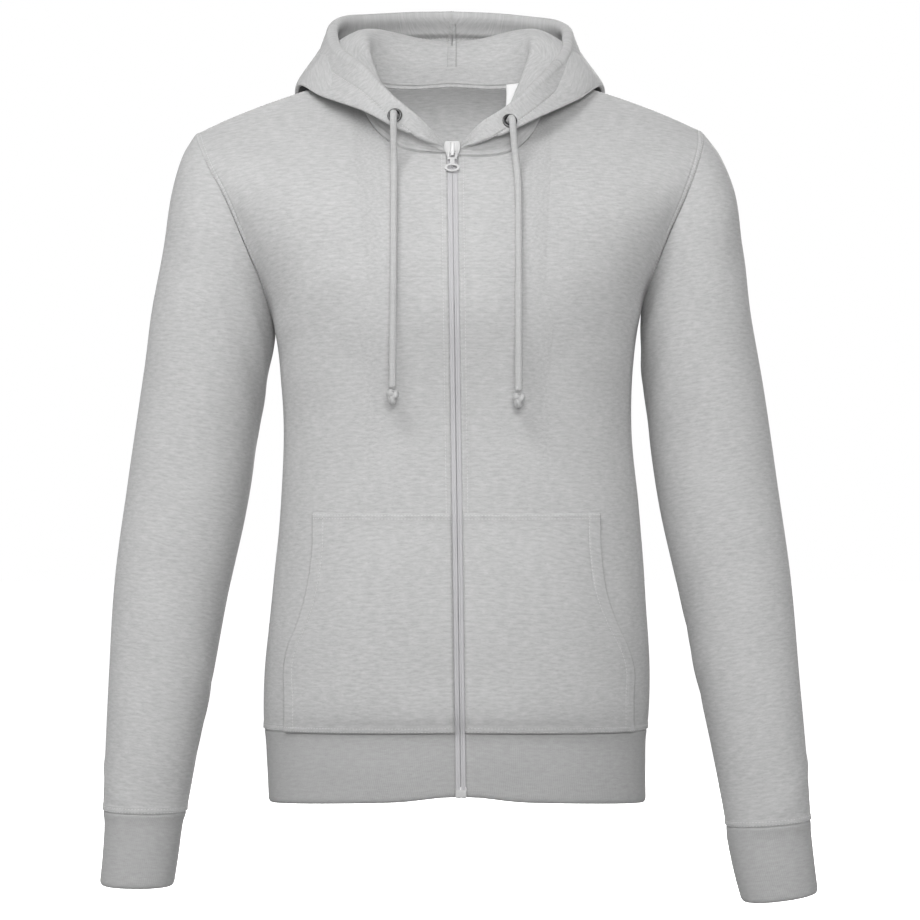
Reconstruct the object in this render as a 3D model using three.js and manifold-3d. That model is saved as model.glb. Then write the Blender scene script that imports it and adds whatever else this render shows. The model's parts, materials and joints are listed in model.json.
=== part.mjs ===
// A zip-up hooded sweatshirt, filled out as if worn, with its hood laid back on the shoulders.
// Millimetres, +Z up, the front faces -Y. The origin lies between the shoulders, where the neck holds it.
import * as THREE from "three";
import { mergeVertices } from "three/addons/utils/BufferGeometryUtils.js";
import Module from "manifold-3d";

// Cloth and seams
const CLOTH = 2;
const TAPE_CLOTH = 1;
const SEAM_GAP = 0.3;
const SQUARENESS = 0.85;
const EDGE_SLOPE = 1.2;

// The zip: half of its visible width, and the line that it follows down the front
const ZIP_HALF = 4.7;
const ZIP_TOP = { x: 0.3, z: -66 };
const ZIP_BEND = -79;
const ZIP_FOOT = { x: 8.4, z: -663 };
const HEM_PUCKER = { lift: 4, reach: 0.1 };
const ZIP_TAPE = { cloth: 1.4, depth: 0.3, partFrom: -86, partTo: -76, parting: 2 };

// Where the shoulder seam meets the neckline, and how far up the panels the neckline starts
const NECK_CORNER = 0.3;
const FRONT_NECK = { right: 0.858, left: 0.865, rightPower: 3.6, leftPower: 2.7 };
const BACK_NECK = { right: 0.955, left: 0.955, rightPower: 2.5, leftPower: 2.5 };
const ARMPIT = 0.57;
const SIDE_SEAM_Y = 2;

// How many cells each panel's grid has
const CELLS = { neck: 6, shoulder: 6, side: 11, armhole: 8, band: 3, sleeve: 17, cuff: 3 };
const HOOD_CELLS = { neckToRidge: 4, ridgeToFold: 6, foldToEdge: 6 };

// Turns rows of numbers into one list for each named column
function table(names, rows) {
  return Object.fromEntries(names.map((name, column) => [name, rows.map((row) => row[column])]));
}

// Level sections of the body, from the hem band's lower edge to the shoulder seam. The middle is at the zip or
// the spine, the edge is the side seam or the armhole, and turn is the share of a quarter oval between them.
const BODY = table(
  ["level", "frontZ", "frontY", "backZ", "backY", "rightX", "rightZ", "leftX", "leftZ", "frontEdgeY", "backEdgeY",
    "turn"],
  [
    [-0.1, -667, -113, -676, 112, 182, -678, -172, -678, 2, 2, 1],
    [-0.05, -636, -115, -643, 115, 181.5, -644, -173.5, -643, 2, 2, 1],
    [-0.012, -612, -115, -617, 115, 182, -617, -175, -617, 2, 2, 1],
    [0, -604, -116, -609, 116, 183, -609, -176, -609, 2, 2, 1],
    [0.025, -589, -122, -594, 121, 187, -594, -180, -594, 2, 2, 1],
    [0.09, -548, -122, -550, 119, 185.5, -550, -175.5, -550, 2, 2, 1],
    [0.19, -480, -121, -480, 112, 181, -480, -167.5, -480, 2, 2, 1],
    [0.31, -400, -116, -400, 102, 175, -400, -160.5, -400, 2, 2, 1],
    [0.42, -329, -113, -329, 98, 168.5, -329, -158, -329, 2, 2, 1],
    [0.5, -275, -119, -275, 107, 170, -268, -160.5, -282, 2, 2, 1],
    [0.57, -228, -127, -226, 119, 177.7, -215, -165.9, -237, 2, 2, 1],
    [0.64, -190, -126, -190, 124, 187.6, -184, -176.7, -195, -28, 32, 0.82],
    [0.71, -155, -118, -152, 124, 201.5, -147, -190.6, -160, -43, 50, 0.66],
    [0.78, -118, -102, -112, 117, 216.8, -113, -209.6, -116, -45, 55, 0.56],
    [0.86, -78, -75, -62, 102, 229, -82, -226, -86, -34, 44, 0.5],
    [0.93, -40, -40, -12, 77, 235, -62, -236, -65, -17, 24, 0.5],
    [1, 20, 10, 20, 10, 236, -49, -241.6, -51, 4, 4, 0.5],
  ],
);

// Rings of each sleeve from the armhole to the cuff's lower edge: its outermost and innermost points
const SLEEVE_COLUMNS = ["level", "outX", "outZ", "inX", "inZ", "midY", "halfY"];
const SLEEVE = {
  right: table(SLEEVE_COLUMNS, [
    [0, 236, -49, 177.7, -215, 4, 50],
    [0.05, 253, -72, 177.5, -222, 5, 54],
    [0.1, 266, -104, 177.3, -236, 7, 58],
    [0.18, 273, -156, 178.5, -258, 9, 61],
    [0.28, 280, -212, 180.5, -290, 10, 62],
    [0.4, 293.5, -290, 186, -337, 10, 60],
    [0.54, 306, -380, 196, -405, 4, 57],
    [0.68, 317.7, -470, 213.5, -485, -6, 53],
    [0.82, 326.3, -560, 231, -566, -18, 48],
    [0.94, 333.5, -640, 248, -645, -27, 43],
    [1, 337, -691, 257.5, -697, -32, 38],
    [1.03, 337.5, -703, 258.5, -709, -33, 36],
    [1.07, 340.5, -730, 264.5, -738, -36, 35],
    [1.12, 344, -757.5, 272.5, -767, -39, 34],
  ]),
  left: table(SLEEVE_COLUMNS, [
    [0, -241.6, -51, -165.9, -237, 4, 50],
    [0.05, -254, -72, -166.5, -244, 5, 54],
    [0.1, -263.7, -104, -168.5, -256, 7, 58],
    [0.18, -271.5, -156, -173, -275, 9, 61],
    [0.28, -281, -212, -178, -303, 10, 62],
    [0.4, -292.5, -290, -184, -345, 10, 60],
    [0.54, -305, -380, -194.5, -410, 4, 57],
    [0.68, -316, -470, -210.5, -485, -6, 53],
    [0.82, -322.3, -560, -226, -566, -18, 48],
    [0.94, -326, -640, -241.5, -641, -27, 43],
    [1, -327.5, -682.5, -249.5, -683.5, -31, 38],
    [1.03, -326.5, -694, -253, -695, -32, 36],
    [1.07, -328, -720, -257, -720, -35, 34],
    [1.12, -331, -749, -261.5, -745, -38, 33],
  ]),
};
const ARMHOLE_FADE = 0.3;

// Sections of the hood from the zip (0) round the side (0.5) to the centre seam at the back (1). The cloth rises
// from the neck seam to a ridge, falls outside it to a fold, and climbs again to the face edge. x is measured
// outwards from the hood's middle, aim is the outward direction in degrees from the front.
const HOOD_MIDDLE = -2;
const HOOD = table(
  ["station", "ridgeX", "ridgeY", "ridgeZ", "foldX", "foldY", "foldZRight", "foldZLeft", "edgeX", "edgeY",
    "edgeZRight", "edgeZLeft", "aim", "ridgeTurn", "foldIn", "foldDip", "foldOut"],
  [
    [0, 5.4, -75.6, -74.5, 6, -75.6, -72.5, -71.5, 7.5, -75.6, -68, -66.5, 0, 1, 1, 0, 1],
    [0.125, 26, -76, -66, 27, -82.5, -64, -61.5, 28, -79, -50, -46, 14, 5, 5, 0, 10],
    [0.25, 46, -64, -50, 50, -80, -57, -51, 53, -75, -35, -25, 30, 12, 10, 5, 14],
    [0.375, 61, -34, -22, 80, -66, -43, -36, 81, -52, -12, 3, 52, 22, 16, 24, 26],
    [0.5, 79, 8, 24, 119, -26, -22, -19, 110, 4, 22, 29, 80, 34, 22, 60, 44],
    [0.6, 84, 32, 47, 147, 18, -8, -7, 117, 44, 51, 52, 97, 44, 24, 70, 50],
    [0.7, 74, 54, 53, 151, 62, -30, -30, 109, 78, 65, 66, 116, 44, 26, 60, 70],
    [0.8, 53, 67, 51, 130, 108, -78, -78, 82, 101, 71, 72, 138, 36, 26, 30, 90],
    [0.9, 28, 74, 46, 80, 138, -131, -131, 44, 119, 76, 77, 160, 32, 24, 10, 110],
    [1, 0, 77, 43, 0, 150, -163, -163, 0, 126, 79, 79, 180, 32, 24, 0, 120],
  ],
);

// The pockets' outlines: how far from the zip line the opening edge lies at each height
const POCKET = {
  top: -406,
  right: table(["z", "reach"], [[-604, 160], [-575, 160], [-550, 163], [-528, 158], [-508, 147], [-480, 137],
    [-440, 131], [-406, 130]]),
  left: table(["z", "reach"], [[-604, 167], [-575, 166], [-550, 166], [-528, 163], [-508, 152], [-480, 143],
    [-440, 138], [-406, 136]]),
  low: -601,
  start: 5.7,
  cells: { across: 10, up: 8 },
  cloth: 1.6,
  lift: 2.2,
  swell: 2.4,
};

// Eyelets in the hood, the cord through them and its knots
const GROMMET = { outer: 6.9, hole: 4.6, bore: 4.2, seat: 0.5, lip: 1.1, thick: 2.2 };
const GROMMET_PLACE = { right: { station: 0.262, climb: 0.5 }, left: { station: 0.24, climb: 0.5 } };
const CORD = { radius: 3.15, sides: 8, steps: 36 };
const CORD_ROUTE = {
  right: [
    [52.8, -77.1, -47.3], [53.6, -81.3, -45.8], [54.3, -85.2, -44.8], [55, -88.9, -46], [55.5, -91.3, -49.6],
    [55.9, -92.2, -55], [56.6, -92, -64], [57.6, -91.6, -75], [59, -92.2, -87], [60, -97, -99],
    [60.5, -104.5, -112], [60.6, -112.5, -128], [60.6, -119.5, -146], [60.5, -125.5, -168], [60.4, -129.3, -192],
    [60.4, -131, -218], [60.4, -131.3, -244], [60.4, -131, -270], [60.4, -130.6, -295],
  ],
  left: [
    [-52, -78.9, -42.3], [-52.6, -83.2, -41.1], [-53, -87, -40.4], [-53.2, -90.6, -41.8], [-53.2, -92.8, -45.5],
    [-53.1, -93.6, -51], [-53, -93.3, -61], [-52.8, -92.3, -73], [-52.6, -92.4, -86], [-52.5, -97, -98],
    [-52.4, -104.5, -111], [-52.3, -112.5, -127], [-52.2, -119.8, -145], [-52.2, -126, -167], [-52.3, -130, -190],
    [-52.5, -131.8, -216], [-52.7, -132, -242], [-52.9, -131.6, -267], [-53, -131.2, -292],
  ],
};
const KNOT = { radius: 6.4, height: 15.4 };

// The slider on the zip: a shield in front and behind, a post between, an arch, and the pull that swings from it
const SLIDER = { width: 15.5, height: 14.5, plate: 1.6, play: 2, post: 2.2, back: 8, top: -65.5 };
const ARCH = { width: 3.4, thick: 1.5, reach: 5.2, height: 12.5 };
const PULL = { bar: 1.7, inside: 5, cheek: 1.7, length: 20.5, ringWidth: 13.4, ringHeight: 8.6, thick: 1.7, lie: 27 };
const STOP = { width: 10, height: 6.4, thick: 1.8, z: -659 };
const NECK_TAPE = { from: 0.72, low: 0.04, high: 0.28, lift: 0.5 };
const LABEL = { from: 0.7, to: 0.77, rise: 0.4, drop: 19, thick: 0.8, lift: 1 };

const COLOURS = {
  cloth: 0xc9c9cb,
  band: 0xb4b4b6,
  tape: 0xb9b8c2,
  white: 0xf0f0f2,
  metal: 0x57534f,
  cord: 0xd2d2d4,
};

// Reads one column of a table at any position, with a smooth curve through its rows
function read(data, key, column, at) {
  const knots = data[key];
  const values = data[column];
  const last = knots.length - 1;
  const t = Math.min(Math.max(at, knots[0]), knots[last]);
  let i = 0;
  while (i < last - 1 && t > knots[i + 1]) {
    i += 1;
  }
  const pace = (a) => (values[a + 1] - values[a]) / (knots[a + 1] - knots[a]);
  const slope = (a) => (a === 0 ? pace(0) : a === last ? pace(last - 1) : (pace(a - 1) + pace(a)) / 2);
  const span = knots[i + 1] - knots[i];
  const u = (t - knots[i]) / span;
  const lean = u * u * (3 - 2 * u);
  return values[i] * (1 - lean) + values[i + 1] * lean
    + slope(i) * span * u * (1 - u) * (1 - u) - slope(i + 1) * span * u * u * (1 - u);
}

function zipX(z) {
  return THREE.MathUtils.mapLinear(z, ZIP_TOP.z, ZIP_FOOT.z, ZIP_TOP.x, ZIP_FOOT.x);
}

// A point of the front or back: across runs from the middle (0) to the edge (1), level from hem band to shoulder
function bodyPoint(face, side, across, level, middleHalf) {
  const get = (column) => read(BODY, "level", column, level);
  const arc = (Math.min(get("turn"), 1) * Math.PI) / 2;
  const sine = (Math.sin(arc * across) / Math.sin(arc)) ** SQUARENESS;
  const fall = (1 - Math.cos(arc * across) ** SQUARENESS) / (1 - Math.cos(arc) ** SQUARENESS);
  const middleZ = get(`${face}Z`);
  const edgeZ = get(`${side}Z`);
  const z = THREE.MathUtils.lerp(middleZ, edgeZ, across ** EDGE_SLOPE);
  const centre = zipX(middleZ);
  const parting = middleHalf * Math.min(1, (1 - level) / (1 - FRONT_NECK.left));
  const start = centre + (side === "right" ? parting : -parting);
  const x = THREE.MathUtils.lerp(start, get(`${side}X`), sine);
  const edgeY = level <= ARMPIT ? SIDE_SEAM_Y : get(`${face}EdgeY`);
  const y = THREE.MathUtils.lerp(get(`${face}Y`), edgeY, fall);
  const pucker = face === "front" && level < 0
    ? HEM_PUCKER.lift * (-level / 0.1) * Math.exp(-((across / HEM_PUCKER.reach) ** 2)) : 0;
  return new THREE.Vector3(x, y, z + pucker);
}

// How high a column reaches: to the neckline inside the neck corner, to the shoulder seam outside it
function topLevel(neck, side, across) {
  const share = Math.min(across / NECK_CORNER, 1);
  return THREE.MathUtils.lerp(neck[side], 1, share ** neck[`${side}Power`]);
}

// A position on the neck seam from the zip (0) over the neck corner (0.5) to the back's middle (1)
function neckPoint(side, station) {
  const front = station <= 0.5;
  const across = NECK_CORNER * (front ? station / 0.5 : (1 - station) / 0.5);
  const neck = front ? FRONT_NECK : BACK_NECK;
  return bodyPoint(front ? "front" : "back", side, across, topLevel(neck, side, across), front ? ZIP_HALF : 0);
}

function steps(from, to, count) {
  return Array.from({ length: count + 1 }, (_, i) => THREE.MathUtils.lerp(from, to, i / count));
}

const ZIP_LEVELS = [...steps(ZIP_FOOT.z, -104, 20), -97, -91, -86, -82, ZIP_BEND, -74, ZIP_TOP.z];
const COLUMNS = [...steps(0, NECK_CORNER, CELLS.neck), ...steps(NECK_CORNER, 1, CELLS.shoulder).slice(1)];
const ROWS = [...steps(0, ARMPIT, CELLS.side), ...steps(ARMPIT, 1, CELLS.armhole).slice(1)];
const ARMHOLE_ROWS = steps(1, ARMPIT, CELLS.armhole);

function panelColumn(face, side, across, middleHalf) {
  const top = topLevel(face === "front" ? FRONT_NECK : BACK_NECK, side, across);
  return ROWS.map((row) => bodyPoint(face, side, across, row * (row > 0 ? top : 1), middleHalf));
}

function frontGrid(side) {
  return COLUMNS.map((across) => panelColumn("front", side, across, ZIP_HALF));
}

function backGrid() {
  const right = [...COLUMNS].reverse().map((across) => panelColumn("back", "right", across, 0));
  const left = COLUMNS.slice(1).map((across) => panelColumn("back", "left", across, 0));
  return [...right, ...left];
}

function bandGrid() {
  const rows = steps(-0.1, 0, CELLS.band);
  const column = (face, side, across) => rows.map((row) =>
    bodyPoint(face, side, across, row, face === "front" ? ZIP_HALF : 0));
  return [
    ...COLUMNS.map((across) => column("front", "right", across)),
    ...[...COLUMNS].reverse().slice(1).map((across) => column("back", "right", across)),
    ...COLUMNS.slice(1).map((across) => column("back", "left", across)),
    ...[...COLUMNS].reverse().slice(1).map((across) => column("front", "left", across)),
  ];
}

// A ring of the sleeve at one level, an oval between its outermost and innermost points
function sleeveRing(side, level, angle) {
  const get = (column) => read(SLEEVE[side], "level", column, level);
  const round = (value) => Math.sign(value) * Math.abs(value) ** 0.92;
  const outward = round(Math.cos(angle));
  const x = THREE.MathUtils.lerp(get("inX"), get("outX"), (1 + outward) / 2);
  const z = THREE.MathUtils.lerp(get("inZ"), get("outZ"), (1 + outward) / 2);
  return new THREE.Vector3(x, get("midY") - get("halfY") * round(Math.sin(angle)), z);
}

// The sleeve starts on the armhole itself and eases into its own rings
function sleevePoint(side, level, place, armhole) {
  const angle = (2 * Math.PI * place) / armhole.length;
  const point = sleeveRing(side, level, angle);
  const hold = Math.max(0, 1 - level / ARMHOLE_FADE) ** 2;
  return point.addScaledVector(armhole[place].clone().sub(sleeveRing(side, 0, angle)), hold);
}

function armholeLoop(side) {
  const front = ARMHOLE_ROWS.map((row) => bodyPoint("front", side, 1, row, ZIP_HALF));
  const back = [...ARMHOLE_ROWS].reverse().map((row) => bodyPoint("back", side, 1, row, 0));
  return [...front, ...back.slice(1, -1)];
}

function sleeveGrid(side, from, to, count) {
  const armhole = armholeLoop(side);
  return armhole.map((_, place) => steps(from, to, count).map((level) => sleevePoint(side, level, place, armhole)));
}

function hermite(a, aPull, b, bPull, t) {
  const lean = t * t * (3 - 2 * t);
  return a.clone().lerp(b, lean)
    .addScaledVector(aPull, t * (1 - t) * (1 - t))
    .addScaledVector(bPull, -t * t * (1 - t));
}

// One section of the hood: three smooth curves from the neck seam over the ridge and round the fold to the edge
function hoodSection(side, station) {
  const get = (column) => read(HOOD, "station", column, station);
  const sign = side === "right" ? 1 : -1;
  const suffix = side === "right" ? "Right" : "Left";
  const reach = HOOD_MIDDLE * Math.min(1, 4 * station, 4 * (1 - station));
  const key = (name, z) => new THREE.Vector3(reach + sign * get(`${name}X`), get(`${name}Y`), z);
  const aim = THREE.MathUtils.degToRad(get("aim"));
  const outward = new THREE.Vector3(sign * Math.sin(aim), -Math.cos(aim), 0);
  const up = new THREE.Vector3(0, 0, 1);
  const neck = neckPoint(side, station);
  const ridge = key("ridge", get("ridgeZ"));
  const fold = key("fold", get(`foldZ${suffix}`));
  const edge = key("edge", get(`edgeZ${suffix}`));
  const pull = (direction, size) => direction.clone().multiplyScalar(size);
  const arrival = pull(outward, get("foldIn")).addScaledVector(up, -get("foldDip"));
  return {
    rise: (t) => hermite(neck, pull(up, neck.distanceTo(ridge) * 1.3), ridge, pull(outward, get("ridgeTurn")), t),
    drop: (t) => hermite(ridge, pull(outward, get("ridgeTurn")), fold, arrival, t),
    climb: (t) => hermite(fold, pull(outward, get("foldOut")), edge, pull(up, fold.distanceTo(edge) * 0.8), t),
  };
}

function hoodColumn(side, station) {
  const section = hoodSection(side, station);
  return [
    ...steps(0, 1, HOOD_CELLS.neckToRidge).map(section.rise),
    ...steps(0, 1, HOOD_CELLS.ridgeToFold).slice(1).map(section.drop),
    ...steps(0, 1, HOOD_CELLS.foldToEdge).slice(1).map(section.climb),
  ];
}

function hoodGrid(side) {
  return steps(0, 1, 2 * CELLS.neck).map((station) => hoodColumn(side, station));
}

// The front's surface at a given x and z, found by halving
function frontAt(side, x, z) {
  const sign = side === "right" ? 1 : -1;
  let across = 0.5;
  let level = 0.3;
  for (let pass = 0; pass < 12; pass += 1) {
    let low = 0;
    let high = 1;
    for (let i = 0; i < 24; i += 1) {
      across = (low + high) / 2;
      if (sign * bodyPoint("front", side, across, level, ZIP_HALF).x < sign * x) {
        low = across;
      } else {
        high = across;
      }
    }
    low = -0.1;
    high = 0.9;
    for (let i = 0; i < 24; i += 1) {
      level = (low + high) / 2;
      if (bodyPoint("front", side, across, level, ZIP_HALF).z < z) {
        low = level;
      } else {
        high = level;
      }
    }
  }
  return bodyPoint("front", side, across, level, ZIP_HALF);
}

// Normals of a grid of points, from its neighbours along both directions
function gridNormals(grid, closed, flip) {
  const rows = grid[0].length;
  const columns = grid.length;
  const at = (i, j) => grid[closed ? (i + columns) % columns : Math.min(Math.max(i, 0), columns - 1)][
    Math.min(Math.max(j, 0), rows - 1)];
  return grid.map((column, i) => column.map((_, j) => {
    const along = at(i + 1, j).clone().sub(at(i - 1, j));
    const upward = at(i, j + 1).clone().sub(at(i, j - 1));
    const normal = along.cross(upward).normalize();
    return flip ? normal.negate() : normal;
  }));
}

// A closed wall between a grid's outer points and the same points moved in along their normals
function wallGeometry({ grid, normals, closed, flip, thickness }) {
  const rows = grid[0].length;
  const columns = grid.length;
  const outer = grid.flat();
  const inner = grid.flatMap((column, i) =>
    column.map((point, j) => point.clone().addScaledVector(normals[i][j], -thickness)));
  const points = [...outer, ...inner];
  const positions = points.flatMap((point) => point.toArray());
  const id = (i, j, deep) => (i % columns) * rows + j + (deep ? outer.length : 0);
  const faces = [];
  const triangle = (a, b, c) => (flip ? faces.push(a, c, b) : faces.push(a, b, c));
  // Each cell is split along its shorter diagonal, so both sides of a seam are split alike
  const quad = (a, b, c, d) => {
    if (points[a].distanceTo(points[c]) < points[b].distanceTo(points[d])) {
      triangle(a, b, c);
      triangle(a, c, d);
    } else {
      triangle(a, b, d);
      triangle(b, c, d);
    }
  };
  for (let i = 0; i < (closed ? columns : columns - 1); i += 1) {
    for (let j = 0; j < rows - 1; j += 1) {
      quad(id(i, j), id(i + 1, j), id(i + 1, j + 1), id(i, j + 1));
      quad(id(i, j, true), id(i, j + 1, true), id(i + 1, j + 1, true), id(i + 1, j, true));
    }
    quad(id(i, 0, true), id(i + 1, 0, true), id(i + 1, 0), id(i, 0));
    quad(id(i, rows - 1), id(i + 1, rows - 1), id(i + 1, rows - 1, true), id(i, rows - 1, true));
  }
  if (!closed) {
    for (let j = 0; j < rows - 1; j += 1) {
      quad(id(0, j, true), id(0, j), id(0, j + 1), id(0, j + 1, true));
      quad(id(columns - 1, j), id(columns - 1, j, true), id(columns - 1, j + 1, true), id(columns - 1, j + 1));
    }
  }
  const geometry = new THREE.BufferGeometry();
  geometry.setAttribute("position", new THREE.Float32BufferAttribute(positions, 3));
  geometry.setIndex(faces);
  return geometry;
}

// Moves a grid's border in by half the seam gap, so that sewn pieces don't touch
function drawInBorder(grid, closed) {
  const rows = grid[0].length;
  const columns = grid.length;
  const moved = grid.map((column) => column.map((point) => point.clone()));
  const draw = (i, j, towards) => moved[i][j].addScaledVector(
    towards.clone().sub(grid[i][j]).normalize(), SEAM_GAP / 2);
  for (let i = 0; i < columns; i += 1) {
    draw(i, 0, grid[i][1]);
    draw(i, rows - 1, grid[i][rows - 2]);
  }
  if (!closed) {
    for (let j = 0; j < rows; j += 1) {
      draw(0, j, grid[1][j]);
      draw(columns - 1, j, grid[columns - 2][j]);
    }
  }
  return moved;
}

// Sewn pieces share each seam's direction through the cloth: the mean of the normals that meet there
function shareSeams(pieces) {
  const seams = new Map();
  const name = (point) => point.toArray().map((v) => Math.round(v * 50)).join(" ");
  const border = (piece, visit) => piece.grid.forEach((column, i) => column.forEach((point, j) => {
    const side = !piece.closed && (i === 0 || i === piece.grid.length - 1);
    if (side || j === 0 || j === column.length - 1) {
      visit(name(point), piece.normals[i][j]);
    }
  }));
  for (const piece of pieces) {
    border(piece, (place, normal) => {
      const sum = seams.get(place) ?? new THREE.Vector3();
      seams.set(place, sum.add(normal));
    });
  }
  for (const piece of pieces) {
    border(piece, (place, normal) => normal.copy(seams.get(place)).normalize());
  }
}

function clothPiece(name, grid, { closed = false, flip = false, thickness = CLOTH } = {}) {
  return { name, grid, closed, flip, thickness, normals: gridNormals(grid, closed, flip) };
}

const hoodie = new THREE.Group();
const wasm = await Module();
wasm.setup();

function add(name, geometry, colour, metalness = 0, roughness = 0.9) {
  const material = new THREE.MeshStandardMaterial({ color: colour, metalness, roughness });
  const mesh = new THREE.Mesh(geometry, material);
  mesh.name = name;
  hoodie.add(mesh);
}

function solid(geometry) {
  const bare = geometry.clone();
  bare.deleteAttribute("normal");
  bare.deleteAttribute("uv");
  const merged = mergeVertices(bare, 1e-3);
  return new wasm.Manifold(new wasm.Mesh({
    numProp: 3,
    vertProperties: Float32Array.from(merged.getAttribute("position").array),
    triVerts: Uint32Array.from(merged.getIndex().array),
  }));
}

function fromSolid(body) {
  const { vertProperties, triVerts } = body.getMesh();
  const geometry = new THREE.BufferGeometry();
  geometry.setAttribute("position", new THREE.BufferAttribute(vertProperties, 3));
  geometry.setIndex(new THREE.BufferAttribute(triVerts, 1));
  return geometry;
}

function boxAt(width, depth, height, x, y, z) {
  return new THREE.BoxGeometry(width, depth, height).translate(x, y, z);
}

function join(...geometries) {
  return geometries.map(solid).reduce((a, b) => a.add(b));
}

// Sewn cloth
const sewn = [
  clothPiece("front_right", frontGrid("right")),
  clothPiece("front_left", frontGrid("left"), { flip: true }),
  clothPiece("back", backGrid()),
  clothPiece("hem_band", bandGrid()),
  clothPiece("sleeve_right", sleeveGrid("right", 0, 1, CELLS.sleeve), { closed: true }),
  clothPiece("sleeve_left", sleeveGrid("left", 0, 1, CELLS.sleeve), { closed: true, flip: true }),
  clothPiece("cuff_right", sleeveGrid("right", 1, 1.12, CELLS.cuff), { closed: true }),
  clothPiece("cuff_left", sleeveGrid("left", 1, 1.12, CELLS.cuff), { closed: true, flip: true }),
  clothPiece("hood_right", hoodGrid("right")),
  clothPiece("hood_left", hoodGrid("left"), { flip: true }),
];
shareSeams(sewn);

// Each eyelet's place: on the hood's outer face between the fold and the face edge
function grommetFrame(side) {
  const { station, climb } = GROMMET_PLACE[side];
  const at = (s, t) => hoodSection(side, s).climb(t);
  const point = at(station, climb);
  const along = at(station + 0.02, climb).sub(at(station - 0.02, climb));
  const upward = at(station, climb + 0.05).sub(at(station, climb - 0.05));
  const normal = along.cross(upward).normalize().multiplyScalar(side === "right" ? 1 : -1);
  const turn = new THREE.Quaternion().setFromUnitVectors(new THREE.Vector3(0, 1, 0), normal);
  return { point, turn };
}

function placed(geometry, { point, turn }) {
  return geometry.applyQuaternion(turn).translate(point.x, point.y, point.z);
}

const HOLED = { hood_right: "right", hood_left: "left" };
for (const piece of sewn) {
  const grid = drawInBorder(piece.grid, piece.closed);
  const geometry = wallGeometry({ ...piece, grid });
  const darker = piece.name.startsWith("cuff") || piece.name === "hem_band";
  if (HOLED[piece.name]) {
    const drill = new THREE.CylinderGeometry(GROMMET.hole, GROMMET.hole, 12, 16);
    const wall = solid(geometry).subtract(solid(placed(drill, grommetFrame(HOLED[piece.name]))));
    add(piece.name, fromSolid(wall), COLOURS.cloth);
  } else {
    add(piece.name, geometry, darker ? COLOURS.band : COLOURS.cloth);
  }
}

// The pockets lie on the fronts: their points are the front's, moved out, and swell a little in the middle
function pocketGrid(side) {
  const { across, up } = POCKET.cells;
  const sign = side === "right" ? 1 : -1;
  return steps(0, 1, across).map((i) => 1 - (1 - i) ** 1.3).map((share) => steps(0, 1, up).map((climb) => {
    const z = THREE.MathUtils.lerp(POCKET.low, POCKET.top, climb);
    const x = zipX(z) + sign * THREE.MathUtils.lerp(POCKET.start, read(POCKET[side], "z", "reach", z), share);
    const point = frontAt(side, x, z);
    const step = 2;
    const along = frontAt(side, x + step, z).sub(frontAt(side, x - step, z));
    const upward = frontAt(side, x, z + step).sub(frontAt(side, x, z - step));
    const normal = along.cross(upward).normalize();
    const swell = POCKET.swell * Math.sin(Math.PI * share) * Math.sin(Math.PI * climb);
    return point.addScaledVector(normal, POCKET.lift + swell);
  }));
}

for (const side of ["right", "left"]) {
  const piece = clothPiece(`pocket_${side}`, pocketGrid(side), { flip: side === "left", thickness: POCKET.cloth });
  add(piece.name, wallGeometry(piece), COLOURS.cloth);
}

// The tape over the back neck seam, on the hood's inner face just above it
function neckTapeGrid() {
  const stations = steps(NECK_TAPE.from, 1, 5);
  const strip = (side, station) => steps(NECK_TAPE.low, NECK_TAPE.high, 2).map((t) => {
    const at = (s, u) => hoodSection(side, s).rise(u);
    const along = at(Math.min(station + 0.01, 1), t).sub(at(station - 0.01, t));
    const upward = at(station, t + 0.03).sub(at(station, t - 0.03));
    const inward = along.cross(upward).normalize().multiplyScalar(side === "right" ? -1 : 1);
    if (station === 1) {
      inward.x = 0;
    }
    return at(station, t).addScaledVector(inward, CLOTH + NECK_TAPE.lift);
  });
  return [
    ...stations.map((station) => strip("right", station)),
    ...[...stations].reverse().slice(1).map((station) => strip("left", station)),
  ];
}
add("neck_tape", wallGeometry(clothPiece("neck_tape", neckTapeGrid(), { thickness: TAPE_CLOTH })), COLOURS.tape);

// The small label hangs from the back neck seam on the right, just under the tape
function labelGrid() {
  const along = neckPoint("right", LABEL.to).sub(neckPoint("right", LABEL.from));
  const inward = new THREE.Vector3(-along.y, along.x, 0).normalize();
  return steps(LABEL.from, LABEL.to, 2).map((station) => {
    const top = neckPoint("right", station).addScaledVector(inward, CLOTH + LABEL.lift);
    return steps(top.z - LABEL.drop, top.z + LABEL.rise, 3).map((z) => new THREE.Vector3(top.x, top.y, z));
  });
}
add("neck_label", wallGeometry(clothPiece("neck_label", labelGrid(), { thickness: LABEL.thick })), COLOURS.white);

// How far forward the zip lies at a height: on the fronts' edges, and upright above the neck seam
function zipFace(z) {
  let low = -0.1;
  let high = 0.9;
  const target = Math.min(z, ZIP_BEND);
  for (let i = 0; i < 30; i += 1) {
    const level = (low + high) / 2;
    if (bodyPoint("front", "right", 0, level, 0).z < target) {
      low = level;
    } else {
      high = level;
    }
  }
  return bodyPoint("front", "right", 0, low, 0).y;
}

// The zip's two tapes, which part under the slider
function tapeGrid(side) {
  const sign = side === "right" ? 1 : -1;
  return steps(0, 1, 1).map((share) => ZIP_LEVELS.map((z) => {
    const parted = THREE.MathUtils.smoothstep(z, ZIP_TAPE.partFrom, ZIP_TAPE.partTo) * ZIP_TAPE.parting;
    const inner = SEAM_GAP / 2 + parted;
    const reach = THREE.MathUtils.lerp(inner, ZIP_HALF - SEAM_GAP / 2, share);
    return new THREE.Vector3(zipX(z) + sign * reach, zipFace(z) + ZIP_TAPE.depth, z);
  }));
}
for (const side of ["right", "left"]) {
  const piece = clothPiece(`zip_tape_${side}`, tapeGrid(side), { flip: side === "left", thickness: ZIP_TAPE.cloth });
  add(piece.name, wallGeometry(piece), COLOURS.tape);
}

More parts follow.
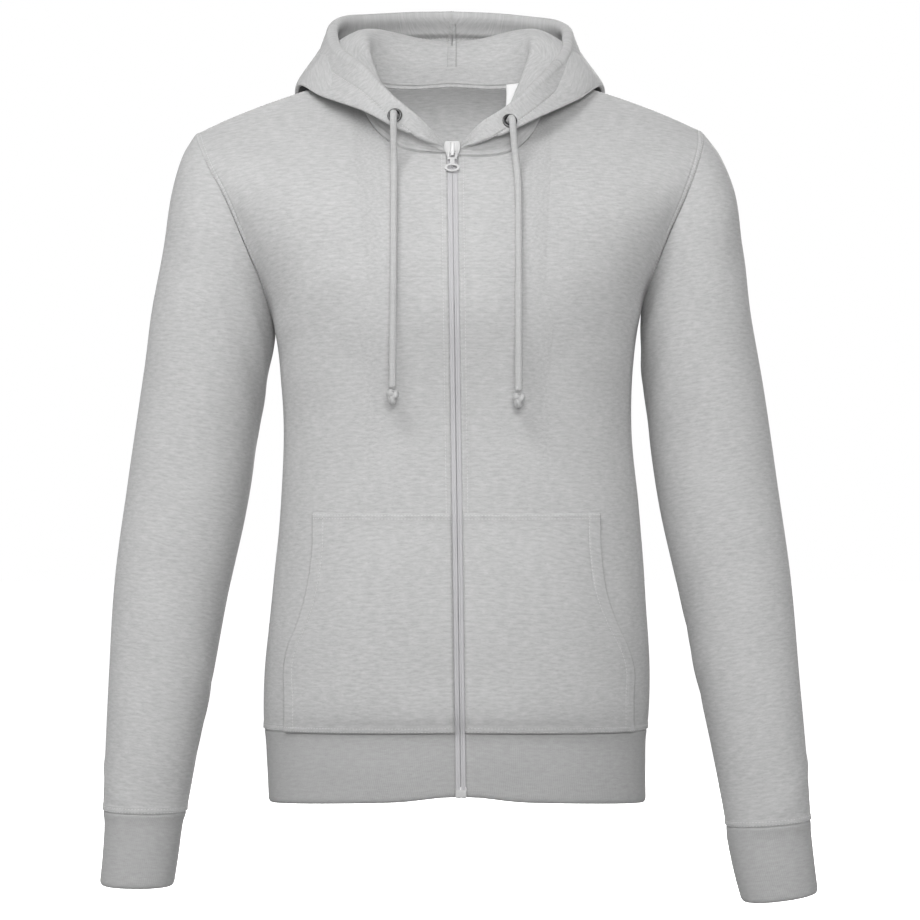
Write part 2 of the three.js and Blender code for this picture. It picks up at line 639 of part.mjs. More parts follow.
add("grommet_right", grommetGeometry("right"), COLOURS.metal, 1, 0.35);
add("grommet_left", grommetGeometry("left"), COLOURS.metal, 1, 0.35);

// A ring of rolled sheet on the hood's face
function grommetGeometry(side) {
  const { outer, hole, bore, seat, lip, thick } = GROMMET;
  const profile = [
    [bore, seat], [outer, seat], [outer, seat + lip], [(outer + hole) / 2, seat + thick], [bore, seat + lip],
    [bore, seat],
  ].map(([radius, height]) => new THREE.Vector2(radius, height));
  const ring = new THREE.LatheGeometry(profile, 20);
  return placed(ring, grommetFrame(side));
}

for (const side of ["right", "left"]) {
  const route = CORD_ROUTE[side].map((point) => new THREE.Vector3(...point));
  const curve = new THREE.CatmullRomCurve3(route, false, "centripetal");
  const section = new THREE.Shape(steps(0, 1, CORD.sides).slice(1).map((share) => new THREE.Vector2(
    CORD.radius * Math.cos(2 * Math.PI * share), CORD.radius * Math.sin(2 * Math.PI * share))));
  add(`drawcord_${side}`, new THREE.ExtrudeGeometry(section, {
    steps: CORD.steps, bevelEnabled: false, extrudePath: curve }), COLOURS.cord);
  const end = route[route.length - 1];
  const knot = new THREE.SphereGeometry(KNOT.radius, 12, 10);
  knot.rotateX(Math.PI / 2).scale(1, 1, KNOT.height / (2 * KNOT.radius));
  add(`knot_${side}`, knot.translate(end.x, end.y, end.z - KNOT.height / 2 - SEAM_GAP), COLOURS.cord);
}

// Slider, pull and stop, placed on the zip at their heights
const sliderMiddle = SLIDER.top - SLIDER.height / 2;
const sliderX = zipX(sliderMiddle);
const sliderY = zipFace(sliderMiddle);
const shieldY = -SLIDER.play - SLIDER.plate / 2;
const pivotZ = -ARCH.height / 2 + ARCH.thick + PULL.bar / 2 + 0.6;
const pivotY = shieldY - SLIDER.plate / 2 - (ARCH.reach - ARCH.thick) / 2;

function onZip(geometry) {
  return geometry.translate(sliderX, sliderY, sliderMiddle);
}

function shieldGeometry(width, depth) {
  const outline = new THREE.Shape();
  const half = width / 2;
  outline.moveTo(-half * 0.62, -SLIDER.height / 2);
  outline.lineTo(half * 0.62, -SLIDER.height / 2);
  outline.lineTo(half, SLIDER.height * 0.1);
  outline.lineTo(half * 0.86, SLIDER.height / 2);
  outline.lineTo(-half * 0.86, SLIDER.height / 2);
  outline.lineTo(-half, SLIDER.height * 0.1);
  outline.closePath();
  const plate = new THREE.ExtrudeGeometry(outline, { depth, bevelEnabled: false });
  return plate.rotateX(Math.PI / 2).translate(0, depth / 2, 0);
}

// The arch is a narrow loop standing on the shield, and a post joins the shield to the plate behind the tapes
const archY = shieldY - SLIDER.plate / 2;
const archBlock = solid(boxAt(ARCH.width, ARCH.reach + 0.4, ARCH.height, 0, archY - ARCH.reach / 2 + 0.2, 0));
const archHole = solid(boxAt(ARCH.width + 2, ARCH.reach - ARCH.thick, ARCH.height - 2 * ARCH.thick,
  0, archY - (ARCH.reach - ARCH.thick) / 2, 0));
const backY = CLOTH + SEAM_GAP + SLIDER.plate / 2;
const shield = solid(shieldGeometry(SLIDER.width, SLIDER.plate).translate(0, shieldY, 0));
const backPlate = solid(shieldGeometry(SLIDER.back, SLIDER.plate).translate(0, backY, 0));
const postHeight = 3.5;
const post = solid(boxAt(SLIDER.post, backY - shieldY, postHeight, 0, (backY + shieldY) / 2,
  SLIDER.height / 2 - postHeight / 2));
const slider = shield.add(archBlock.subtract(archHole)).add(post).add(backPlate);
add("zip_slider", onZip(fromSolid(slider)), COLOURS.white, 0, 0.4);

// The pull: a bar through the arch, two cheeks beside it, a neck and a ring
function pullSolid() {
  const { bar, inside, cheek, length, ringWidth, ringHeight, thick } = PULL;
  const outerHalf = inside / 2 + cheek;
  const cheekLength = 5.6;
  const bars = boxAt(2 * outerHalf, bar, bar, 0, 0, 0);
  const cheeks = [-1, 1].map((s) =>
    boxAt(cheek, bar, cheekLength + bar / 2, s * (inside + cheek) / 2, 0, -cheekLength / 2));
  const web = boxAt(2 * outerHalf, bar, 2, 0, 0, -cheekLength - bar / 2);
  const neckFoot = length - ringHeight + 1.2;
  const neck = boxAt(4.2, thick, neckFoot - cheekLength, 0, 0, -(neckFoot + cheekLength) / 2);
  const oval = (width, height, depth) => new THREE.CylinderGeometry(1, 1, depth, 28)
    .scale(width / 2, 1, height / 2).translate(0, 0, -length + ringHeight / 2);
  return join(bars, ...cheeks, web, neck, oval(ringWidth, ringHeight, thick))
    .subtract(solid(oval(ringWidth - 4, ringHeight - 3.6, thick + 2)));
}
const pullRest = THREE.MathUtils.degToRad(-PULL.lie);
add("zip_pull", onZip(fromSolid(pullSolid()).rotateX(pullRest).translate(0, pivotY, pivotZ)), COLOURS.white, 0, 0.4);

add("zip_stop", boxAt(STOP.width, STOP.thick, STOP.height, zipX(STOP.z), zipFace(STOP.z) - STOP.thick / 2 - SEAM_GAP,
  STOP.z), COLOURS.white, 0, 0.4);

export default hoodie;
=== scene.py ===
"""A zip-up hooded sweatshirt in light grey heather knit, worn and filled out, with its hood laid back.

The cloth is worked out again from the cut's own tables, on finer grids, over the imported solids.
"""
import json
import math

import bmesh
import bpy
import numpy as np
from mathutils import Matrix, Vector

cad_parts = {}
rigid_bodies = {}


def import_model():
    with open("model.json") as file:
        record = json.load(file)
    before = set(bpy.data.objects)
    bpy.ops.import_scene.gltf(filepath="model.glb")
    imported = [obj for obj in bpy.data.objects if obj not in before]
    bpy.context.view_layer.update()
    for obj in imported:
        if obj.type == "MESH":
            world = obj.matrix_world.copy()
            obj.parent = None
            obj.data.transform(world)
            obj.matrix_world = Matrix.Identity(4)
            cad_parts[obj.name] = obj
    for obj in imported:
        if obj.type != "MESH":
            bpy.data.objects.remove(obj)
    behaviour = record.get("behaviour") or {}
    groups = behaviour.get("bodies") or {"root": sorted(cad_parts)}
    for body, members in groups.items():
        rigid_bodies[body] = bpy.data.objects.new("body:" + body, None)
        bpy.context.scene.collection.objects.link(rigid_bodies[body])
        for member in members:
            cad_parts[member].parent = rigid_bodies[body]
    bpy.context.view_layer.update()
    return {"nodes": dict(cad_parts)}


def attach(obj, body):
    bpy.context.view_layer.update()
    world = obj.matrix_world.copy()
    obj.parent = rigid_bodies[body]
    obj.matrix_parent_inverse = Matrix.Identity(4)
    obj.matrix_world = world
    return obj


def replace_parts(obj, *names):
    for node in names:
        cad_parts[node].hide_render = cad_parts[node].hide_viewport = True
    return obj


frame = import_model()

bl_info = {
    "name": "Zip-up hoodie",
    "version": (1, 0, 0),
    "blender": (4, 5, 0),
    "location": "3D View > Sidebar > Hoodie",
    "description": "Builds the knit, rib, zip, eyelets and drawcord of a zip-up hoodie over its solids",
    "category": "Object",
}

MM = 0.001
TURN = 2 * math.pi
SIGN = {"right": 1, "left": -1}

# The cut's shape: powers, shares of a table's levels or stations, and lengths in millimetres

SQUARENESS = 0.85
SLEEVE_SQUARENESS = 0.92
EDGE_SLOPE = 1.2
ZIP_HALF = 4.7
ZIP_TOP = (0.3, -66)
ZIP_BEND = -79
ZIP_FOOT = (8.4, -663)
HEM_PUCKER = {"lift": 4, "reach": 0.1}
NECK_CORNER = 0.3
NECK = {
    "front": {"right": 0.858, "left": 0.865, "right_power": 3.6, "left_power": 2.7},
    "back": {"right": 0.955, "left": 0.955, "right_power": 2.5, "left_power": 2.5},
}
ARMPIT = 0.57
SIDE_SEAM_Y = 2
ARMHOLE_FADE = 0.3
HOOD_MIDDLE = -2
HOOD_RIM = 0.985

# Sewing: how wide the raised allowances are, how far from the edge each row of thread runs, and the stretches
# of an edge that it covers

HEM_ALLOWANCE = 6.4
SEAM_ALLOWANCE = 6.6
ZIP_ALLOWANCE = 7.5
CENTRE_ALLOWANCE = 5.6
SEAM_ROWS = (1.6, 5.0)
ZIP_ROW = 5.5
CENTRE_ROW = 3.2
POCKET_HEM = 12.5
TUNNEL = 20.0
STITCHED = ("front", "pocket", "sleeve", "hood")
ARMHOLE_PART = (0.59, 0.99)
SHOULDER_PARTS = ((0.03, 0.33), (0.67, 0.97))

# How far the inner face of each kind of cloth lies behind the cut

KNIT = 2.2
RIB = 3.4
POCKET_KNIT = 1.4

# Trims. An eyelet's place is a station and a share of the hood's section.

LABEL_STATIONS = (0.665, 0.735)
LABEL_DROP = 19
EYELET = {"right": (0.262, 2.5), "left": (0.24, 2.5)}
EYELET_HOLE = {"radius": 4.9, "depth": 7.3, "behind": 0.65}
EYELET_SIDES = 56
CORD_RADIUS = 3.15
CORD_SIDES = 20
KNOT_RADIUS = 3.2
KNOT_SIDES = 16
KNOT_DROP = 8.0

# Where grid lines crowd beside an edge, as shares of the grid

ZIP_EDGE = (0.0005, 0.0012, 0.0025, 0.004, 0.006, 0.008, 0.0105, 0.013, 0.017, 0.022)
SIDE_EDGE = (0.001, 0.003, 0.006, 0.01, 0.014, 0.018, 0.022, 0.027, 0.033)
SEAM_EDGE = (0.0008, 0.002, 0.0035, 0.005, 0.0065, 0.008, 0.0095, 0.011, 0.013)
ROLL_EDGE = (0.004, 0.009, 0.015, 0.022, 0.03, 0.045, 0.06)
POCKET_EDGE = (0.004, 0.01, 0.017, 0.024, 0.032, 0.04)
POCKET_MOUTH = (0.006, 0.014, 0.025, 0.04, 0.06, 0.075, 0.09)
BAND_END = (0.0005, 0.0015, 0.003)


def table(names, rows):
    """One array for each named column of a list of rows."""
    return dict(zip(names.split(), np.array(rows, float).T))


# Level sections of the body, from the hem band's lower edge to the shoulder seam
BODY = table(
    "level front_z front_y back_z back_y right_x right_z left_x left_z front_edge_y back_edge_y turn",
    [
        [-0.1, -667, -113, -676, 112, 182, -678, -172, -678, 2, 2, 1],
        [-0.05, -636, -115, -643, 115, 181.5, -644, -173.5, -643, 2, 2, 1],
        [-0.012, -612, -115, -617, 115, 182, -617, -175, -617, 2, 2, 1],
        [0, -604, -116, -609, 116, 183, -609, -176, -609, 2, 2, 1],
        [0.025, -589, -121, -594, 120, 184.6, -594, -176.8, -594, 2, 2, 1],
        [0.09, -548, -122, -550, 119, 185.5, -550, -175.5, -550, 2, 2, 1],
        [0.19, -480, -121, -480, 112, 181, -480, -167.5, -480, 2, 2, 1],
        [0.31, -400, -116, -400, 102, 175, -400, -160.5, -400, 2, 2, 1],
        [0.42, -329, -113, -329, 98, 168.5, -329, -158, -329, 2, 2, 1],
        [0.5, -275, -119, -275, 107, 170, -268, -160.5, -282, 2, 2, 1],
        [0.57, -228, -127, -226, 119, 177.7, -215, -165.9, -237, 2, 2, 1],
        [0.64, -190, -126, -190, 124, 187.6, -184, -176.7, -195, -28, 32, 0.82],
        [0.71, -155, -118, -152, 124, 201.5, -147, -190.6, -160, -43, 50, 0.66],
        [0.78, -118, -102, -112, 117, 216.8, -113, -209.6, -116, -45, 55, 0.56],
        [0.86, -78, -75, -62, 102, 229, -82, -226, -86, -34, 44, 0.5],
        [0.93, -40, -40, -12, 77, 235, -62, -236, -65, -17, 24, 0.5],
        [1, 20, 10, 20, 10, 236, -49, -241.6, -51, 4, 4, 0.5],
    ],
)

# Rings of each sleeve from the armhole to the cuff's lower edge
SLEEVE_COLUMNS = "level out_x out_z in_x in_z mid_y half_y"
SLEEVE = {
    "right": table(SLEEVE_COLUMNS, [
        [0, 236, -49, 177.7, -215, 4, 50],
        [0.05, 253, -72, 177.5, -222, 5, 54],
        [0.1, 266, -104, 177.3, -236, 7, 58],
        [0.18, 273, -156, 178.5, -258, 9, 61],
        [0.28, 280, -212, 180.5, -290, 10, 62],
        [0.4, 293.5, -290, 186, -337, 10, 60],
        [0.54, 306, -380, 196, -405, 4, 57],
        [0.68, 317.7, -470, 213.5, -485, -6, 53],
        [0.82, 324.4, -560, 229.7, -566, -18, 48],
        [0.94, 330.6, -640, 245.8, -645, -27, 43],
        [1, 333.5, -691, 254.8, -697, -32, 38],
        [1.03, 333.9, -703, 255.7, -709, -33, 36],
        [1.07, 336.5, -730, 261.4, -738, -36, 35],
        [1.12, 339.6, -757.5, 269.1, -767, -39, 34],
    ]),
    "left": table(SLEEVE_COLUMNS, [
        [0, -241.6, -51, -165.9, -237, 4, 50],
        [0.05, -254, -72, -166.5, -244, 5, 54],
        [0.1, -263.7, -104, -168.5, -256, 7, 58],
        [0.18, -271.5, -156, -173, -275, 9, 61],
        [0.28, -281, -212, -178, -303, 10, 62],
        [0.4, -292.5, -290, -184, -345, 10, 60],
        [0.54, -305, -380, -194.5, -410, 4, 57],
        [0.68, -316, -470, -210.5, -485, -6, 53],
        [0.82, -320.3, -560, -224.6, -566, -18, 48],
        [0.94, -323, -640, -239.3, -641, -27, 43],
        [1, -324.1, -682.5, -246.9, -683.5, -31, 38],
        [1.03, -322.9, -694, -250.2, -695, -32, 36],
        [1.07, -324.1, -721, -253.9, -723.5, -35, 34],
        [1.12, -326.7, -750.5, -258.1, -752, -38, 33],
    ]),
}

# Sections of the hood from the zip (0) round the side (0.5) to the centre seam at the back (1)
HOOD = table(
    "station ridge_x ridge_y ridge_z fold_x fold_y fold_z_right fold_z_left edge_x edge_y edge_z_right "
    "edge_z_left aim ridge_turn fold_in fold_dip fold_out",
    [
        [0, 5.4, -75.6, -74.5, 6, -75.6, -72.5, -71.5, 7.5, -75.6, -68, -66.5, 0, 1, 1, 0, 1],
        [0.125, 26, -76, -66, 27, -82.5, -64, -61.5, 28, -79, -50, -46, 14, 5, 5, 0, 10],
        [0.25, 46, -64, -50, 50, -80, -57, -51, 53, -75, -35, -25, 30, 12, 10, 5, 14],
        [0.375, 61, -34, -22, 80, -66, -43, -36, 81, -52, -12, 3, 52, 22, 16, 24, 26],
        [0.5, 79, 8, 24, 117, -26, -22, -19, 110, 4, 22, 29, 80, 34, 22, 60, 40],
        [0.6, 84, 32, 47, 141, 18, -5, -4, 117, 44, 48.5, 52, 97, 44, 24, 70, 46],
        [0.7, 74, 54, 53, 143, 62, -28, -28, 109, 78, 62, 66, 116, 44, 26, 60, 56],
        [0.8, 53, 67, 51, 126, 108, -77, -77, 82, 101, 69.5, 72, 138, 36, 26, 30, 86],
        [0.9, 28, 74, 46, 80, 138, -131, -131, 44, 119, 76, 77, 160, 32, 24, 10, 110],
        [1, 0, 77, 43, 0, 150, -163, -163, 0, 126, 79, 79, 180, 32, 24, 0, 120],
    ],
)

# The pockets' outlines: how far from the zip line the opening edge lies at each height
POCKET = {
    "right": table("z reach", [[-604, 158], [-575, 158], [-550, 159], [-528, 153], [-508, 144], [-480, 134.5],
                               [-440, 129.5], [-406, 129]]),
    "left": table("z reach", [[-604, 160], [-575, 159], [-550, 159.5], [-528, 155], [-508, 146.5],
                              [-480, 138], [-440, 131.5], [-406, 130.5]]),
    "top": -406,
    "low": -601,
    "start": 5.7,
    "lift": 1.9,
    "swell": 2.4,
}


# Shapes of the cut

def lerp(a, b, share):
    return a + (b - a) * share


def smooth(a, b, value):
    """0 before a, 1 after b, and 3t² − 2t³ between them."""
    t = np.clip((value - a) / (b - a), 0, 1)
    return t * t * (3 - 2 * t)


def hump(distance, width):
    """exp(−(distance/width)²)."""
    return np.exp(-((distance / width) ** 2))


def spokes(count):
    """Even angles round a full turn."""
    return np.arange(count) / count * TURN


def read(data, key, column, at):
    """A curve through a table's rows: each stretch is a cubic, and its slope at a row is the mean of the
    slopes on the row's two sides."""
    knots, values = data[key], data[column]
    t = np.clip(at, knots[0], knots[-1])
    i = np.clip(np.searchsorted(knots, t, side="left") - 1, 0, len(knots) - 2)
    pace = np.diff(values) / np.diff(knots)
    slope = np.concatenate([pace[:1], (pace[:-1] + pace[1:]) / 2, pace[-1:]])
    span = knots[i + 1] - knots[i]
    u = (t - knots[i]) / span
    lean = u * u * (3 - 2 * u)
    bend = slope[i] * span * u * (1 - u) ** 2 - slope[i + 1] * span * u * u * (1 - u)
    return values[i] * (1 - lean) + values[i + 1] * lean + bend


def zip_x(z):
    """The zip's middle line: a straight lean from its top to its foot."""
    return lerp(ZIP_TOP[0], ZIP_FOOT[0], (z - ZIP_TOP[1]) / (ZIP_FOOT[1] - ZIP_TOP[1]))


def body_point(face, side, across, level, middle_half):
    """A part of an oval in plan between the middle and the edge: x follows sin(arc·across)^0.85, y follows
    1 − cos(arc·across)^0.85, and z follows across^1.2 from the middle's height to the edge's."""
    across, level = np.broadcast_arrays(np.asarray(across, float), np.asarray(level, float))
    get = lambda column: read(BODY, "level", column, level)
    arc = np.minimum(get("turn"), 1) * math.pi / 2
    sine = (np.sin(arc * across) / np.sin(arc)) ** SQUARENESS
    cosine = np.clip(np.cos(arc * across), 0, 1) ** SQUARENESS
    fall = (1 - cosine) / (1 - np.clip(np.cos(arc), 0, 1) ** SQUARENESS)
    middle_z = get(f"{face}_z")
    z = lerp(middle_z, get(f"{side}_z"), across ** EDGE_SLOPE)
    parting = middle_half * np.minimum(1, (1 - level) / (1 - NECK["front"]["left"]))
    x = lerp(zip_x(middle_z) + parting * SIGN[side], get(f"{side}_x"), sine)
    edge_y = np.where(level <= ARMPIT, SIDE_SEAM_Y, get(f"{face}_edge_y"))
    y = lerp(get(f"{face}_y"), edge_y, fall)
    if face == "front":
        lift = HEM_PUCKER["lift"] * np.clip(-level / 0.1, 0, 1)
        z = z + lift * hump(across, HEM_PUCKER["reach"])
    return np.stack([x, y, z], -1)


def panel_point(face, side, across, row, middle_half):
    """A panel's rows are spread from the hem (0) to the neckline or the shoulder seam (1)."""
    neck = NECK[face]
    top = lerp(neck[side], 1, np.minimum(across / NECK_CORNER, 1) ** neck[f"{side}_power"])
    return body_point(face, side, across, np.where(row > 0, row * top, row), middle_half)


def neck_point(side, station):
    """The neck seam from the zip (0) over the neck corner (0.5) to the back's middle (1)."""
    front = np.minimum(station, 0.5) / 0.5 * NECK_CORNER
    back = (1 - np.maximum(station, 0.5)) / 0.5 * NECK_CORNER
    return np.where(
        (station <= 0.5)[..., None],
        panel_point("front", side, front, 1.0 + 0 * front, ZIP_HALF),
        panel_point("back", side, back, 1.0 + 0 * back, 0),
    )


def sleeve_ring(side, level, angle):
    """An oval between the sleeve's outermost and innermost points at a level."""
    data = SLEEVE[side]
    get = lambda column: read(data, "level", column, level)
    outward = np.sign(np.cos(angle)) * np.abs(np.cos(angle)) ** SLEEVE_SQUARENESS
    forward = np.sign(np.sin(angle)) * np.abs(np.sin(angle)) ** SLEEVE_SQUARENESS
    x = lerp(get("in_x"), get("out_x"), (1 + outward) / 2)
    z = lerp(get("in_z"), get("out_z"), (1 + outward) / 2)
    return np.stack([x, get("mid_y") - get("half_y") * forward, z], -1)


def armhole_point(side, turn):
    """The armhole from the shoulder (0) down the front to the armpit (0.5) and up the back (1)."""
    front = lerp(1, ARMPIT, np.clip(turn * 2, 0, 1))
    back = lerp(ARMPIT, 1, np.clip(turn * 2 - 1, 0, 1))
    return np.where(
        (turn <= 0.5)[..., None],
        body_point("front", side, 1.0, front, ZIP_HALF),
        body_point("back", side, 1.0, back, 0),
    )


def sleeve_point(side, turn, level):
    """The sleeve starts on the armhole itself and eases into its own rings."""
    angle = TURN * turn
    ring = sleeve_ring(side, level, angle)
    hold = np.clip(1 - level / ARMHOLE_FADE, 0, 1) ** 2
    start = armhole_point(side, turn) - sleeve_ring(side, 0 * level, angle)
    return ring + start * hold[..., None]


def curve(a, a_pull, b, b_pull, t):
    """A cubic from a to b that leaves along a_pull and arrives along b_pull."""
    t = t[..., None]
    lean = t * t * (3 - 2 * t)
    return a + (b - a) * lean + a_pull * t * (1 - t) ** 2 - b_pull * t * t * (1 - t)


def hood_point(side, station, t):
    """The hood's section: from the neck seam (0) over the ridge (1), round the fold (2) to the edge (3)."""
    station, t = np.broadcast_arrays(np.asarray(station, float), np.asarray(t, float))
    get = lambda column: read(HOOD, "station", column, station)
    sign = SIGN[side]
    reach = HOOD_MIDDLE * np.minimum(1, np.minimum(4 * station, 4 * (1 - station)))
    aim = np.radians(get("aim"))
    out = np.stack([sign * np.sin(aim), -np.cos(aim), 0 * aim], -1)
    up = np.stack([0 * aim, 0 * aim, 1 + 0 * aim], -1)
    key = lambda name, z: np.stack([reach + sign * get(f"{name}_x"), get(f"{name}_y"), z], -1)
    neck = neck_point(side, station)
    ridge = key("ridge", get("ridge_z"))
    fold = key("fold", get(f"fold_z_{side}"))
    edge = key("edge", get(f"edge_z_{side}"))
    far = lambda a, b: np.linalg.norm(a - b, axis=-1, keepdims=True)
    turn = out * get("ridge_turn")[..., None]
    arrive = out * get("fold_in")[..., None] - up * get("fold_dip")[..., None]
    leave = out * get("fold_out")[..., None]
    rise = curve(neck, up * far(neck, ridge) * 1.3, ridge, turn, np.clip(t, 0, 1))
    drop = curve(ridge, turn, fold, arrive, np.clip(t - 1, 0, 1))
    climb = curve(fold, leave, edge, up * far(fold, edge) * 0.8, np.clip(t - 2, 0, 1))
    return np.where((t <= 1)[..., None], rise, np.where((t <= 2)[..., None], drop, climb))


def soft_folds(p, q, folds):
    """The sum of soft ridges and troughs drawn on a flat chart. Each is height · exp(−(d/width)²) · taper,
    where d is the distance from a straight line between two places, bowed sideways by bow · 4s(1−s), and the
    taper is (4s(1−s))^0.6 between its ends."""
    total = np.zeros(np.shape(p))
    for p0, q0, p1, q1, width, height, bow in folds:
        dp, dq = p1 - p0, q1 - q0
        length = math.hypot(dp, dq)
        s = ((p - p0) * dp + (q - q0) * dq) / length ** 2
        inside = np.clip(4 * s * (1 - s), 0, None)
        side = ((p - p0) * dq - (q - q0) * dp) / length - bow * inside
        total += height * hump(side, width) * inside ** 0.6
    return total


# Meshes

def unit(vectors):
    return vectors / np.maximum(np.linalg.norm(vectors, axis=-1, keepdims=True), 1e-9)


def grid_normals(points, around=False):
    """The cross product of the two directions along a grid, each from the points on both sides."""
    if around:
        along = np.roll(points, -1, 0) - np.roll(points, 1, 0)
    else:
        along = np.gradient(points, axis=0)
    return unit(np.cross(along, np.gradient(points, axis=1)))


def link(name, data):
    made = bpy.data.objects.new(name, data)
    bpy.context.scene.collection.objects.link(made)
    return made


def stands_for(piece, node, body="garment"):
    """The piece moves with a body and is drawn in place of a node."""
    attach(piece, body)
    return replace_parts(piece, node)


TURNED_ROUND = [0, 3, 2, 1]


def ring_faces(number):
    """The quads between each ring of point numbers and the next. Every ring is closed."""
    after = np.roll(number, -1, -1)
    corners = [number[..., :-1, :], after[..., :-1, :], after[..., 1:, :], number[..., 1:, :]]
    return np.stack(corners, -1).reshape(-1, 4)


def new_mesh(name, points, faces, uv=None, flat=False):
    """A mesh object from points in millimetres and a list of face arrays, each of one corner count. uv gives
    each point, or each face corner, its place on the flat cut in millimetres."""
    mesh = bpy.data.meshes.new(name)
    points = np.asarray(points, float).reshape(-1, 3) * MM
    faces = [np.asarray(f, np.int32) for f in faces if len(f)]
    corners = np.concatenate([f.ravel() for f in faces])
    sizes = np.concatenate([np.full(len(f), f.shape[1], np.int32) for f in faces])
    mesh.vertices.add(len(points))
    mesh.vertices.foreach_set("co", points.astype(np.float32).ravel())
    mesh.loops.add(len(corners))
    mesh.loops.foreach_set("vertex_index", corners)
    mesh.polygons.add(len(sizes))
    mesh.polygons.foreach_set("loop_start", np.concatenate([[0], np.cumsum(sizes)[:-1]]).astype(np.int32))
    mesh.polygons.foreach_set("use_smooth", np.full(len(sizes), not flat))
    if uv is not None:
        uv = np.asarray(uv, float).reshape(-1, 2) * MM
        layer = mesh.uv_layers.new(name="cut")
        uv = uv if len(uv) == len(corners) else uv[corners]
        layer.data.foreach_set("uv", uv.astype(np.float32).ravel())
    mesh.update(calc_edges=True)
    return link(name, mesh)


def flat_cut(points, around=False):
    """Where each point of a grid lies on the flat cut: the lengths along its rows from the middle column, and
    up its columns or, on a tube, along its axis."""
    u = edge_distance(points, 0, 0)
    v = edge_distance(points, 1, 0)
    if around:
        foot = points[:, 0].mean(0)
        v = (points - foot) @ unit(points[:, -1].mean(0) - foot)
    return np.stack([u - u[points.shape[0] // 2], v], -1)


def cloth_wall(name, outer, inner, flip=False, around=False, rim=2):
    """A closed wall of cloth. Each column runs up the outer face, over a half-round rim, down the inner face
    and under another half-round rim. Open sides are closed with a strip of faces."""
    if around:
        outer = np.concatenate([outer, outer[:1]])
        inner = np.concatenate([inner, inner[:1]])
    uv = flat_cut(outer, around)
    rows = outer.shape[1]

    def rounded(a, b, ahead):
        middle, half = (a + b) / 2, (a - b) / 2
        ahead = unit(ahead) * np.linalg.norm(half, axis=-1, keepdims=True)
        turns = [math.pi * k / (rim + 1) for k in range(1, rim + 1)]
        return np.stack([middle + half * math.cos(t) + ahead * math.sin(t) for t in turns], 1)

    top = rounded(outer[:, -1], inner[:, -1], outer[:, -1] - outer[:, -2])
    foot = rounded(inner[:, 0], outer[:, 0], outer[:, 0] - outer[:, 1])
    loop = np.concatenate([outer, top, inner[:, ::-1], foot], axis=1)
    ends = [np.repeat(uv[:, k:k + 1], rim, 1) for k in (rows - 1, 0)]
    uv = np.concatenate([uv, ends[0], uv[:, ::-1], ends[1]], axis=1)
    spread, count = loop.shape[0] - 1, loop.shape[1]
    number = np.arange(loop.shape[0] * count).reshape(-1, count)
    quads = ring_faces(number)[:, TURNED_ROUND]
    faces = [quads]
    corner_uv = [uv.reshape(-1, 2)[quads.ravel()]]
    if around:
        faces = [np.where(quads >= spread * count, quads - spread * count, quads)]
        loop = loop[:-1]
    else:
        near = np.arange(rows - 1)
        far = 2 * rows + rim - 1 - near
        start = np.stack([number[0, near], number[0, near + 1], number[0, far - 1], number[0, far]], -1)
        end = np.stack([number[-1, near], number[-1, far], number[-1, far - 1], number[-1, near + 1]], -1)
        caps = []
        for line, turned in ((number[0], False), (number[-1], True)):
            upper = line[rows - 1:rows + rim + 1]
            lower = np.concatenate([line[2 * rows + rim - 1:], line[:1]])
            caps += [c[::-1] if turned else c for c in (upper, lower)]
        faces += [start, end, np.array(caps)]
        corner_uv += [uv.reshape(-1, 2)[f.ravel()] for f in faces[1:]]
    if flip:
        corner_uv = [c.reshape(len(f), -1, 2)[:, ::-1].reshape(-1, 2) for c, f in zip(corner_uv, faces)]
        faces = [f[:, ::-1] for f in faces]
    return new_mesh(name, loop, faces, np.concatenate(corner_uv))


def tube(name, rings, uv=None):
    """A closed skin over rings of points, with a flat end on the first and the last ring."""
    count, sides = rings.shape[:2]
    number = np.arange(count * sides).reshape(count, sides)
    return new_mesh(name, rings, [ring_faces(number), np.stack([number[0, ::-1], number[-1]])], uv)


def ease(count, near=(), far=()):
    """Even steps from 0 to 1, with closer ones near both ends."""
    return np.unique(np.concatenate([np.linspace(0, 1, count + 1), near, 1 - np.asarray(far, float)]))


def edge_distance(points, axis, end):
    """How far each point lies from one edge of its grid, measured along the cloth."""
    steps = np.linalg.norm(np.diff(points, axis=axis), axis=-1)
    pad = [(0, 0), (0, 0)]
    pad[axis] = (1, 0)
    run = np.pad(np.cumsum(steps, axis=axis), pad)
    return run if end == 0 else np.take(run, [-1], axis=axis) - run


def edges(points):
    """How far each point lies from its grid's first and last column and from its first and last row."""
    return [edge_distance(points, axis, end) for axis in (0, 1) for end in (0, 1)]


def run_of(line):
    """The length along a line up to each of its points."""
    return np.concatenate([[0], np.cumsum(np.linalg.norm(np.diff(line, axis=0), axis=-1))])


def dip(distance):
    """The furrow at a seam: −0.8 · exp(−(distance/0.9)²)."""
    return -0.8 * hump(distance, 0.9)


def allowance(distance, width, height=0.6, rows=()):
    """The raised strip over a seam's allowance, with a furrow and a ridge at the seam and a fine groove under
    each stitch row."""
    raised = height * (1 - smooth(width - 0.9, width + 0.9, distance)) + dip(distance)
    raised = raised + height * 0.8 * hump(distance - 1.9, 1.1)
    for row in rows:
        raised = raised - 0.5 * hump(distance - row, 0.6)
    return raised


def rolled(distance, radius=5.0, share=0.55):
    """How far a folded edge curls in: a quarter circle's drop over the last millimetres, times a share."""
    near = 1 - np.clip(distance / radius, 0, 1)
    return -share * radius * (1 - np.sqrt(1 - near ** 2))


SURFACES = {}


